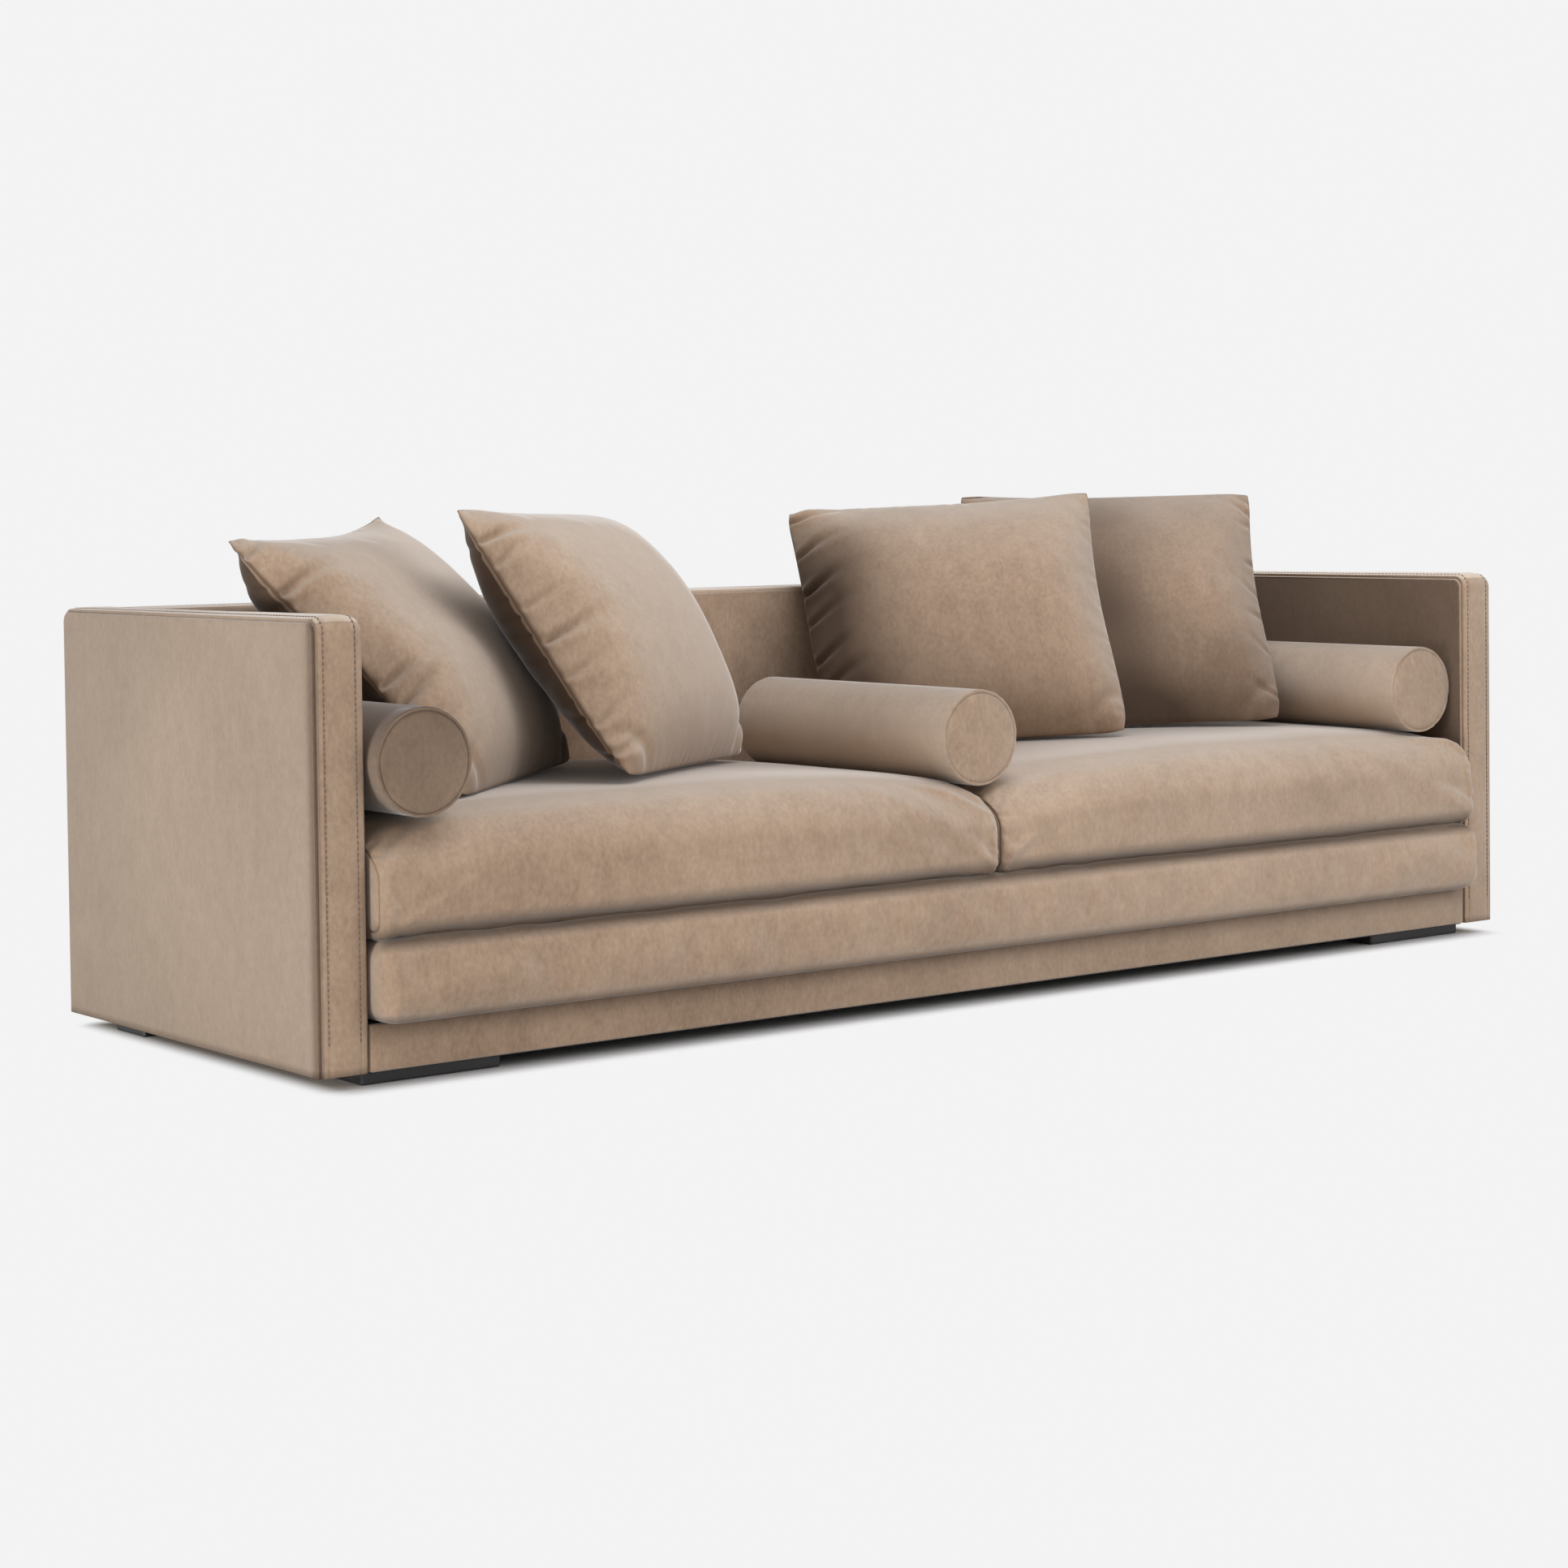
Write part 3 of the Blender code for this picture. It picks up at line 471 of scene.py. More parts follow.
def velour_finish():
    """Short brushed pile with painted sheen, and painted shade and highlights where its marks say."""
    look, tree, place, shader = start_finish("velour")
    fields = {}
    tone = 0.0
    for word, (*settings, portion) in VELOUR_NOISE.items():
        fields[word] = noise_field(tree, place, *settings)
        tone = maths(tree, "ADD", tone, maths(tree, "MULTIPLY", fields[word], portion))
    facing = node(tree, "ShaderNodeLayerWeight", Blend=0.5).outputs["Facing"]
    stops = ((SHADE_AT, VELOUR_SHADE), (BODY_AT, VELOUR_BODY), (BRUSHED_AT, VELOUR_BRUSHED))
    colour = ramp(tree, tone, stops)
    # Painted sheen: greyer and paler where the surface is seen at a glance.
    painted_sheen = ramp(tree, tone, ((SHADE_AT, PAINTED_SHEEN_DARK), (BRUSHED_AT, PAINTED_SHEEN_PALE)))
    colour = blend(tree, colour, painted_sheen, span(tree, facing, *PAINTED_SHEEN_SPAN))
    colour = blend(tree, colour, PAINTED_SHEEN_FAR, span(tree, facing, *FAR_SHEEN_SPAN))
    # Painted shade and painted highlights, from the marks of each piece; partly for the pile too.
    for word, tint, fade in PAINTED_LIGHT_MARKS:
        amount = node(tree, "ShaderNodeAttribute", attribute_name=word).outputs["Fac"]
        colour = blend(tree, colour, tint, span(tree, amount, *fade))
    matt = span(tree, fields["strokes"], 0.0, 1.0, 0.95, 0.80)
    brushed = bump(tree, fields["strokes"], 0.08, 0.003)
    relief = bump(tree, fields["pile"], 0.30, 0.0006, Normal=brushed)
    feed(tree, shader, Base_Color=colour, Roughness=matt, Normal=relief, Specular_IOR_Level=0.20,
         Sheen_Weight=0.55, Sheen_Roughness=0.28, Sheen_Tint=(0.96, 0.97, 1.0, 1))
    return look


VELOUR = velour_finish()


def dress(piece, look, body, slot, *nodes):
    """Give a piece its finish, the body it rides on and the solids it stands for; its slot is not used."""
    piece.data.materials.clear()
    piece.data.materials.append(look)
    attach(piece, body)
    if nodes:
        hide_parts(*nodes)
    print(piece.name, "faces", len(piece.data.polygons), "on", body)


def mark(piece, word, amount):
    """Write a value from -1 to 1 on each point, for the finish to read."""
    marks = piece.data.attributes.get(word) or piece.data.attributes.new(word, "FLOAT", "POINT")
    marks.data.foreach_set("value", np.clip(amount, -1, 1).astype(np.float32))


print("finish", VELOUR.name)

# %% [markdown]
# ## Stuffing a piece with a cloth simulation
#
# A cushion gets its form from a cover that is pulled by its seams and pushed by its filling. A subdivided
# box has no such pull. So the cover is modelled a little small, its seams are held, the cloth is let grow
# by a few hundredths, and pressure from inside fills it for a few frames. Where a grown panel meets a
# held seam it has to gather, which is just what happens at a sewn edge. A cap keeps every point near its
# start. The sharpest gathers are finer than the net that is simulated, so they are pressed in afterwards,
# as with a sculpting brush.

# %% Stuffing
CLOTH_FEEL = {"quality": 5, "mass": 0.25, "air_damping": 2.0, "use_pressure": True}
GATHER_WIDTH = 0.006
GATHER_FLARE = 0.10
GATHER_SLANT = 0.35
GATHER_FAR = (0.5, 1.3)
GATHER_DEEP = (0.35, 1.0)
GATHER_GAP = (0.45, 1.7)


def weigh(piece, word, amount):
    """A vertex group with an amount from 0 to 1 for each point; returns its name."""
    group = piece.vertex_groups.new(name=word)
    steps = np.round(amount, 1)
    for level in sorted(set(steps)):
        if level > 0:
            group.add([int(i) for i in np.nonzero(steps == level)[0]], float(level), "REPLACE")
    return word


def stuff(piece, held, pressure, growth, cap, frames, stiffness=15.0, calm=None):
    """Fill a closed cover; a point with held 1 stays in place, and cloth with calm 1 won't grow."""
    start = points_of(piece)
    take(piece)
    cloth = piece.modifiers.new("stuffing", "CLOTH")
    feel = cloth.settings
    feel.vertex_group_mass = weigh(piece, "held", held)
    if calm is not None:
        feel.vertex_group_shrink = weigh(piece, "calm", calm)
        feel.shrink_max = 0.0
    for word, value in CLOTH_FEEL.items():
        setattr(feel, word, value)
    feel.tension_stiffness = stiffness
    feel.compression_stiffness = stiffness
    feel.shear_stiffness = stiffness / 2
    feel.bending_stiffness = 0.5
    feel.uniform_pressure_force = pressure
    feel.shrink_min = -growth
    feel.effector_weights.gravity = 0
    cloth.collision_settings.use_collision = False
    cloth.collision_settings.use_self_collision = False
    cloth.point_cache.frame_start = 1
    cloth.point_cache.frame_end = frames
    for step in range(1, frames + 1):
        bpy.context.scene.frame_set(step)
    bpy.ops.object.modifier_apply(modifier="stuffing")
    bpy.context.scene.frame_set(1)
    moved = points_of(piece) - start
    length = np.linalg.norm(moved, axis=1)
    scale = np.minimum(1.0, cap / np.maximum(length, TINY))
    move_points(piece, start + moved * scale[:, None])
    piece.vertex_groups.clear()
    print(piece.name, "stuffed, moved at most", round(float(min(cap, length.max())) * 1000, 1), "mm")


def smooth_skin(piece):
    """One subdivision, applied, and smooth shading."""
    take(piece)
    skin = piece.modifiers.new("skin", "SUBSURF")
    skin.levels = 1
    skin.render_levels = 1
    apply_modifiers(piece)
    bpy.ops.object.shade_smooth()


def gathers(along, away, length, spacing, depth, reach, seed, tilt=0.0, at_seam=0.15):
    """How far cloth is drawn in beside a seam: creases square to it, that widen and fade away from it."""
    draw = random.Random(seed)
    pulled = np.zeros(len(along))
    spot = spacing * draw.uniform(0.2, 1.0)
    while spot < length:
        far = reach * draw.uniform(*GATHER_FAR)
        slant = tilt + draw.uniform(-GATHER_SLANT, GATHER_SLANT)
        across = (along - spot - slant * away) / (GATHER_WIDTH + GATHER_FLARE * away)
        fade = share(1 - away / far) ** 1.2 * np.clip(away / GATHER_WIDTH, at_seam, 1)
        crease = np.exp(-across ** 2) - 0.5 * np.exp(-(across / 2.4) ** 2)
        pulled += depth * draw.uniform(*GATHER_DEEP) * fade * crease * 2
        spot += spacing * draw.uniform(*GATHER_GAP)
    return pulled


print("stuffing ready")

# %% [markdown]
# ## The arms
#
# Each arm is a thin upright box. Two padded side panels are sewn to a border strip that runs up the
# front, along the top and down the rear. The seam pulls in, so along each long edge two soft lips meet in
# a narrow valley, and a row of stitches runs beside it on the strip. The box is sliced into a fine net,
# its top corners are rounded, its rims are bevelled, and the middle line of that bevel is pulled in for
# the seam. The strip swells between its seams, most on top, and a cross seam joins its front part to its
# top part.

# %% Sewing helpers
LIP = 0.009
SEAM_DEPTH = 0.0042
# How dark the sunk seams of the arms and back are painted: painted shade in the seam.
SEAM_SHADE = 0.8
STITCH_INSET = 0.0155
CHANNEL = 0.0022
CHANNEL_DEPTH = 0.0011
COVER_WALL = 0.009
ON_LINE = 0.0002
FLAT_FACING = 0.8
SMOOTH_BELOW = math.radians(50)
ARC_MIDDLE = 1 - math.cos(math.pi / 4)


def open_below(piece, low):
    """Delete the underside, where the cover is stapled to the frame."""
    pick(piece, "FACE", lambda f: f.normal.z < -0.9 and f.calc_center_median().z < low.z + NEAR)
    bpy.ops.mesh.delete(type="FACE")


def mark_picked(piece, value):
    """Write how near a seam the points of the picked faces or the picked points are."""
    cage = bmesh.from_edit_mesh(piece.data)
    marks = cage.verts.layers.float.get("seam") or cage.verts.layers.float.new("seam")
    for point in cage.verts:
        if point.select:
            point[marks] = value
    bmesh.update_edit_mesh(piece.data)


def pull_in(piece, test, depth, seam):
    """Pull in the points that pass a test, and mark how much of a seam they are."""
    pick(piece, "VERT", test)
    mark_picked(piece, seam)
    bpy.ops.transform.shrink_fatten(value=-depth)


def line_across(piece, axis, spot):
    """Cut one new line round a piece at a place along an axis."""
    pick(piece, "FACE", lambda f: True)
    way = Vector((0, 0, 0))
    way[axis] = 1
    bpy.ops.mesh.bisect(plane_co=way * spot, plane_no=way)


def sew_strip(piece, axis, low, high):
    """Seams at both edges of a border strip, and a sunk line for the stitches beside each."""
    for edge, inward in ((low, 1), (high, -1)):
        for offset in (-CHANNEL, 0.0, CHANNEL):
            line_across(piece, axis, edge + inward * (STITCH_INSET + offset))
    # The seams are marked for painted shade in the finish; the stitch channels are not.
    rims = (LIP * ARC_MIDDLE, SEAM_DEPTH, SEAM_SHADE)
    channels = (STITCH_INSET, CHANNEL_DEPTH, 0.0)
    for inset, depth, seam in (rims, channels):
        spots = (low + inset, high - inset)
        pull_in(piece, lambda v: min(abs(v.co[axis] - spot) for spot in spots) < ON_LINE, depth, seam)


def wall(piece, thickness):
    """Give an open cover its thickness, inwards."""
    take(piece)
    solid = piece.modifiers.new("wall", "SOLIDIFY")
    solid.thickness = thickness
    solid.offset = -1
    apply_modifiers(piece)


def shade_cover(piece):
    """Smooth shading that keeps the sharp edges."""
    take(piece)
    bpy.ops.object.shade_smooth_by_angle(angle=SMOOTH_BELOW)


print("sewing ready")

# %% Arm covers
ARM_CUTS = (6, 30, 24)
CORNER = 0.022
ARM_BELLY = 0.0030
ARM_WAVE = 0.0012
STRIP_WAVE = 0.0010
TOP_DOME = 0.008
STRIP_DOME = 0.002
DOME_FROM = 0.04
CROSS_SEAM_DEPTH = 0.0016
CROSS_SEAM_WIDTH = 0.004
CROSS_SEAM_DROP = 0.29
CROSS_SEAM_SHADE = 0.7
ROLL_WIDTH = 0.012
ROLL_LINES = (0.5, 1.0, 1.6, 2.4)
ARM_FOOT = 0.012
# Painted shade on the inner face, at the foot and in the roll into the front seam, darker towards the front
# of the outer panel, and a painted highlight on the tops.
ARM_INSIDE_SHADE = 0.75
ARM_FOOT_SHADE = 0.6
ARM_FRONT_DARKENING = 0.10
TOP_HIGHLIGHT = 0.32
ROLL_SHADE = 0.55


def strip_dome(x, low, high):
    """Share of the strip's swell at a place across it, from 0 at both edges to 1 in the middle."""
    return 1 - (abs(x - (low.x + high.x) / 2) / ((high.x - low.x) / 2)) ** 2


def strip_swell(along, upness):
    """How far the strip swells in its middle: little where upright, more on top, most at the front."""
    return STRIP_DOME + (TOP_DOME * (0.65 - 0.35 * along) - STRIP_DOME) * upness


def arm_cover(side):
    """Padded cover of one arm."""
    low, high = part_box(side + "_arm_cover")
    piece = block(side + "_arm_upholstery", low, high)
    open_below(piece, low)
    for axis, cuts in enumerate(ARM_CUTS):
        slice_along(piece, axis, cuts)
    pick(piece, "EDGE", lambda e: runs_along(e, 0) and middle(e).z > high.z - NEAR
         and (middle(e).y < low.y + NEAR or middle(e).y > high.y - NEAR))
    bevel(CORNER, 7)
    round_sharp(piece, LIP, 4)
    sew_strip(piece, 0, low.x, high.x)
    cross_seam = high.z - CORNER * CROSS_SEAM_DROP
    for offset in (-CROSS_SEAM_WIDTH, 0.0, CROSS_SEAM_WIDTH):
        line_across(piece, 2, cross_seam + offset)
    # The cross seam is pulled in and marked for painted shade.
    pull_in(piece, lambda v: abs(v.co.z - cross_seam) < ON_LINE and low.x + LIP < v.co.x < high.x - LIP,
            CROSS_SEAM_DEPTH, CROSS_SEAM_SHADE)
    line_across(piece, 2, low.z + ARM_FOOT)
    for offset in ROLL_LINES:
        line_across(piece, 1, low.y + LIP + offset * ROLL_WIDTH)
    rows, ways = net_of(piece)
    facing = ways[:, 0] * (-1 if side == "left" else 1)
    height = rows[:, 2] - low.z
    across = (rows[:, 1] - low.y) / (high.y - low.y) * 2 - 1
    up = height / (high.z - low.z) * 2 - 1
    belly = share((1 - across ** 4) * (1 - up ** 4))
    wave = drift(rows, 0.17, 3)
    inner = facing < -FLAT_FACING
    amount = np.where(facing > FLAT_FACING, ARM_BELLY * belly + ARM_WAVE * wave, 0.0)
    amount = np.where(inner, (wave - 1.0) * ARM_WAVE, amount)
    amount = np.where((abs(facing) < 0.2) & (height > 0.02), STRIP_WAVE * wave, amount)
    flat = unit(ways * (0, 1, 1))
    dome = strip_dome(rows[:, 0], low, high) * strip_swell(across, share(flat[:, 2]))
    dome *= share(height / DOME_FROM)
    move_points(piece, rows + ways * amount[:, None] + flat * dome[:, None])
    # Painted shade in the roll into the front seam, on the inner face and at the foot, darker towards the
    # front of the outer panel, and a painted highlight on the top above the cross seam.
    roll = np.exp(-((rows[:, 1] - low.y - LIP) / ROLL_WIDTH) ** 2)
    pile_and_painted_light = (ROLL_SHADE * roll + ARM_FRONT_DARKENING * share(-across)) * (facing > 0.5)
    pile_and_painted_light += ARM_INSIDE_SHADE * inner + ARM_FOOT_SHADE * share(1 - height / ARM_FOOT)
    mark(piece, "pile_and_painted_light", pile_and_painted_light - TOP_HIGHLIGHT * ((rows[:, 2] > cross_seam) & (abs(facing) < 0.6)))
    wall(piece, COVER_WALL)
    shade_cover(piece)
    dress(piece, VELOUR, "frame", "velour", side + "_arm_cover")


for side in ("left", "right"):
    arm_cover(side)

# %% [markdown]
# ## The back
#
# The back is the same kind of box between the arms. Its top is a strip with a seam along the front edge
# and one along the rear edge. The part of its face above the seat is a little fuller, because there the
# foam is free.

# %% Back cover
BACK_BELLY = 0.004
BACK_WAVE = 0.001
REAR_WAVE = 0.0012
FREE_FROM = 0.43


def back_upholstery():
    """Padded cover of the back."""
    low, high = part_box("back_cover")
    piece = block("back_upholstery", low, high)
    open_below(piece, low)
    slice_along(piece, 0, 80)
    slice_along(piece, 2, 24)
    pick(piece, "EDGE", lambda e: runs_along(e, 0) and middle(e).z > high.z - NEAR)
    bevel(LIP, 4)
    sew_strip(piece, 1, low.y, high.y)
    rows, ways = net_of(piece)
    free = share((rows[:, 2] - FREE_FROM) / (high.z - FREE_FROM))
    belly = np.sin(free * math.pi) * share(1 - (abs(rows[:, 0]) / high.x) ** 8)
    wave = drift(rows, 0.2, 5)
    amount = np.where(ways[:, 1] < -FLAT_FACING, BACK_BELLY * belly + BACK_WAVE * (wave - 1), 0.0)
    amount = np.where(ways[:, 1] > FLAT_FACING, REAR_WAVE * wave, amount)
    move_points(piece, rows + ways * amount[:, None])
    # A painted highlight on the top.
    mark(piece, "pile_and_painted_light", -TOP_HIGHLIGHT * (ways[:, 2] > 0.6))
    wall(piece, COVER_WALL)
    shade_cover(piece)
    dress(piece, VELOUR, "frame", "velour", "back_cover")


back_upholstery()

# %% [markdown]
# ## Stitches
#
# A row of stitches is one small thread bead, repeated. By hand you would model one and let an Array
# modifier repeat it along a curve, with a Curve modifier to bend the row round the corners. That is done
# here for each row, and the modifiers are applied, so every row is a plain mesh.

# %% Rows of stitches
STITCH_LENGTH = 0.0060
STITCH_STEP = 0.0088
STITCH_RADIUS = 0.0009
STITCH_FROM = 0.05
STITCH_END = 0.004
BEND_STEPS = 8
THREAD_STOPS = ((0.2, (0.15, 0.102, 0.070, 1)), (0.8, (0.24, 0.166, 0.116, 1)))


def thread_finish():
    """Twisted thread: fine slanted bands."""
    look, tree, place, shader = start_finish("thread")
    twist = node(tree, "ShaderNodeTexWave", Vector=place, Scale=900.0, Distortion=1.5).outputs["Fac"]
    feed(tree, shader, Base_Color=ramp(tree, twist, THREAD_STOPS), Normal=bump(tree, twist, 0.3, 0.0003),
         Roughness=0.7)
    return look


THREAD = thread_finish()


def thread_bead(name):
    """One stitch along X: a short rod whose ends are drawn to a dip."""
    let_go()
    bpy.ops.mesh.primitive_cylinder_add(vertices=6, radius=STITCH_RADIUS, depth=STITCH_LENGTH,
                                        rotation=(0, math.radians(90), 0))
    bead = settle(name)
    slice_along(bead, 0, 3, longer_than=STITCH_LENGTH / 2)
    pick(bead, "VERT", lambda v: abs(v.co.x) > STITCH_LENGTH * 0.45)
    bpy.ops.transform.resize(value=(1, 0.45, 0.45))
    take(bead)
    return bead


def stitch_row(name, path):
    """Stitches along a path of points."""
    line = bpy.data.curves.new(name + "_line", "CURVE")
    line.dimensions = "3D"
    spline = line.splines.new("POLY")
    spline.points.add(len(path) - 1)
    for point, place in zip(spline.points, path):
        point.co = (*place, 1)
    guide = bpy.data.objects.new(name + "_line", line)
    bpy.context.scene.collection.objects.link(guide)
    bead = thread_bead(name)
    repeat = bead.modifiers.new("row", "ARRAY")
    repeat.fit_type = "FIT_CURVE"
    repeat.curve = guide
    repeat.use_relative_offset = False
    repeat.use_constant_offset = True
    repeat.constant_offset_displace = (STITCH_STEP, 0, 0)
    follow = bead.modifiers.new("bend", "CURVE")
    follow.object = guide
    apply_modifiers(bead)
    bpy.data.objects.remove(guide)
    bpy.ops.object.shade_smooth()
    dress(bead, THREAD, "frame", "velour")


def arm_stitch_path(low, high, x):
    """Up the front of the strip, along the top and down the rear."""
    sink = CHANNEL_DEPTH - STITCH_RADIUS * 1.2
    dome = strip_dome(x, low, high)
    upright = dome * STRIP_DOME - sink
    path = [(x, low.y - upright, low.z + STITCH_FROM)]
    for centre, first, along in ((low.y + CORNER, 180, -1), (high.y - CORNER, 90, 1)):
        for step in range(BEND_STEPS + 1):
            angle = math.radians(first - 90 * step / BEND_STEPS)
            radius = CORNER - sink + dome * strip_swell(along, math.sin(angle))
            path.append((x, centre + radius * math.cos(angle), high.z - CORNER + radius * math.sin(angle)))
    path.append((x, high.y + upright, low.z + STITCH_FROM))
    return path


for side in ("left", "right"):
    low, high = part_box(side + "_arm_cover")
    for word, x in (("low", low.x + STITCH_INSET), ("high", high.x - STITCH_INSET)):
        stitch_row("%s_arm_stitches_%s" % (side, word), arm_stitch_path(low, high, x))
low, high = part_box("back_cover")
for word, y in (("front", low.y + STITCH_INSET), ("rear", high.y - STITCH_INSET)):
    z = high.z - CHANNEL_DEPTH + STITCH_RADIUS * 0.5
    stitch_row("back_stitches_" + word, [(low.x + STITCH_END, y, z), (high.x - STITCH_END, y, z)])

# %% [markdown]
# ## The strip along the base
#
# Under the overhang a flat covered strip closes the base box. It is a board with cloth pulled over it:
# soft edges and hardly any swell. Near the overhang it is painted darker, the shadow that the overhang
# casts.

# %% Base strip
STRIP_ROUND = 0.004
STRIP_SHADE = 0.040
STRIP_OVERHANG_SHADOW = 0.55


def base_strip():
    """Covered board along the front of the base."""
    low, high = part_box("base_front_cover")
    piece = block("base_strip_upholstery", low, high)
    slice_along(piece, 0, 90)
    slice_along(piece, 2, 3)
    round_sharp(piece, STRIP_ROUND, 3)
    rows, ways = net_of(piece)
    amount = np.where(ways[:, 1] < -FLAT_FACING, STRIP_WAVE * drift(rows, 0.15, 7), 0.0)
    move_points(piece, rows + ways * amount[:, None])
    # Painted shadow of the overhang, darker towards the top of the strip.
    mark(piece, "pile_and_painted_light", STRIP_OVERHANG_SHADOW * share((rows[:, 2] - high.z) / STRIP_SHADE + 1))
    shade_cover(piece)
    dress(piece, VELOUR, "frame", "velour", "base_front_cover")


base_strip()

# %% [markdown]
# ## The padded platform
#
# The long pad under the seat cushions is foam in a wrapped cover. Its front is a full round, and the
# cover gathers a little at each end where it is folded in. The block is bevelled all round, sliced into a
# net, and stuffed with its underside held flat. Where it meets the seat above and the base below it is
# painted darker, the shade in those creases.

# %% Platform pad
PAD_INSET = Vector((0.001, 0.004, 0.0008))
PAD_ROUND = 0.027
PAD_FREE_TO = -0.30
PAD_END = (0.012, 0.006)
# Painted shade in the creases with the seat above and the base below: how far it reaches, how dark it is, and
# where it starts and fades in at the front.
CREASE = 0.016
CREASE_SHADE = 0.85
CREASE_FROM = (-0.40, 0.02)


def platform_pad():
    """Long pad that overhangs the base."""
    low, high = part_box("seat_platform_pad")
    start_low = low + PAD_INSET * Vector((1, 1, 0))
    piece = block("platform_pad", start_low, high - PAD_INSET * Vector((1, 0, 1)))
    pick(piece, "EDGE", lambda e: True)
    bevel(PAD_ROUND, 5)
    slice_along(piece, 0, 130, longer_than=1.0)
    slice_along(piece, 1, 36, longer_than=0.3)
    slice_along(piece, 2, 4)
    take(piece)
    rows = points_of(piece)
    held = ((rows[:, 2] < rows[:, 2].min() + 0.002) | (rows[:, 1] > PAD_FREE_TO)).astype(float)
    ends = share((abs(rows[:, 0]) - (high.x - PAD_END[0])) / PAD_END[1])
    stuff(piece, np.maximum(held, np.round(ends)), 3.0, 0.025, 0.006, 14)
    smooth_skin(piece)
    rows = points_of(piece)
    # Painted shade in the crease under the seat at the front, and in the crease over the base.
    front = share((CREASE_FROM[0] - rows[:, 1]) / CREASE_FROM[1])
    above = share((rows[:, 2] - high.z) / CREASE + 1) * front
    below = share(1 - (rows[:, 2] - low.z) / CREASE)
    mark(piece, "pile_and_painted_light", CREASE_SHADE * np.maximum(above, below))
    dress(piece, VELOUR, "frame", "velour", "seat_platform_pad")


platform_pad()

# %% [markdown]
# ## The seat cushions
#
# A seat cushion is one long panel that wraps over the top, round the front and under, closed by a shaped
# panel at each end. The seams are at the ends, and there the cover gathers. The top is crowned: it falls
# away to both ends and to the front, and comes up again in front of the bolster that presses on it beside
# the arm. The block gets its round front first, is sliced, is given its crown, and is stuffed with the
# end seams held.

# %% Seat cushions
SEAT_FRONT_ROUND = 0.066
SEAT_UNDER_ROUND = 0.040
SEAT_REAR_ROUND = 0.030
SEAT_CROWN = 0.036
SEAT_ARM_CROWN = 0.022
SEAT_RECOVERY = 0.050
SEAT_CROWN_DEPTH = 0.012
SEAT_DROP = 0.022
SEAT_DROP_LENGTH = 0.160
SEAT_BOW = 0.010
SEAT_WAVE = 0.002
SEAT_SWELL = 0.005
SEAT_GAP = 0.0010
SEAT_REAR_GAP = 0.0005
SEAT_STRIPS = 70
SEAT_SHOULDER = 0.014
SEAT_GATHER = 0.0024
SEAT_GATHER_STEP = 0.028
SEAT_GATHER_REACH = 0.034
SEAT_PANEL_RINGS = (0.004, 0.004, 0.005)
END_SEAM_DEPTH = 0.004
# Painted shade on the rear of the seat top, where the pillows stand, and where it fades in.
SEAT_REAR_SHADE = 0.45
SEAT_REAR_FADE = (-0.24, 0.16)


def round_edge(piece, y, z, radius, segments):
    """Round the edge that runs along X at a place in Y and Z."""
    pick(piece, "EDGE", lambda e: runs_along(e, 0) and abs(middle(e).y - y) < NEAR
         and abs(middle(e).z - z) < NEAR)
    bevel(radius, segments)


def steady(piece):
    """Put the faces in one order: the operators' own changes from run to run, and the stuffing follows it."""
    rings = []
    for face in piece.data.polygons:
        ring = list(face.vertices)
        first = ring.index(min(ring))
        rings.append(ring[first:] + ring[:first])
    rows = points_of(piece)
    piece.data.clear_geometry()
    piece.data.from_pydata(rows.tolist(), [], sorted(rings))
    piece.data.update()


def seat_block(side, low, high):
    """The wrapped panel: a block with round long edges, cut into a net that is finer near its ends."""
    piece = block(side + "_seat_cushion", low, high)
    round_edge(piece, low.y, high.z, SEAT_FRONT_ROUND, 14)
    round_edge(piece, low.y, low.z, SEAT_UNDER_ROUND, 9)
    round_edge(piece, high.y, high.z, SEAT_REAR_ROUND, 5)
    round_edge(piece, high.y, low.z, SEAT_REAR_ROUND, 5)
    slice_along(piece, 1, 40, longer_than=0.3)
    slice_along(piece, 2, 12)
    slice_along(piece, 0, SEAT_STRIPS, longer_than=0.5)
    strip = (high.x - low.x) / (SEAT_STRIPS + 1)
    for near in (2.2 * strip, 1.2 * strip):
        pick(piece, "EDGE", lambda e: runs_along(e, 0)
             and (middle(e).x < low.x + near or middle(e).x > high.x - near))
        bpy.ops.mesh.subdivide(number_cuts=1)
    take(piece)
    steady(piece)
    return piece


def sew_ends(piece, axis, rings):
    """Turn the two end faces into sewn panels: the first ring is the seam, the rest lead inwards."""
    pick(piece, "FACE", lambda f: abs(f.normal[axis]) > 0.9 and len(f.verts) > 20)
    # The first ring is marked as seam: it is held in the stuffing and gets painted shade in the finish.
    for count, step in enumerate(rings):
        bpy.ops.mesh.inset(thickness=step, use_individual=True)
        mark_picked(piece, 1.0 if count == 0 else 0.0)
    take(piece)


def seam_of(piece):
    """How near each point is to a seam, as marked on the mesh."""
    return rows_from(piece.data.attributes["seam"].data, "value", 1)[:, 0]


def round_shoulders(piece, low_x, high_x):
    """Let the wrapped panel turn in to the end panels."""
    rows = points_of(piece)
    ways = unit(normals_of(piece) * (0, 1, 1))
    inside = np.clip(SEAT_SHOULDER - np.minimum(rows[:, 0] - low_x, high_x - rows[:, 0]), 0, SEAT_SHOULDER)
    move_points(piece, rows - ways * (SEAT_SHOULDER - np.sqrt(SEAT_SHOULDER ** 2 - inside ** 2))[:, None])


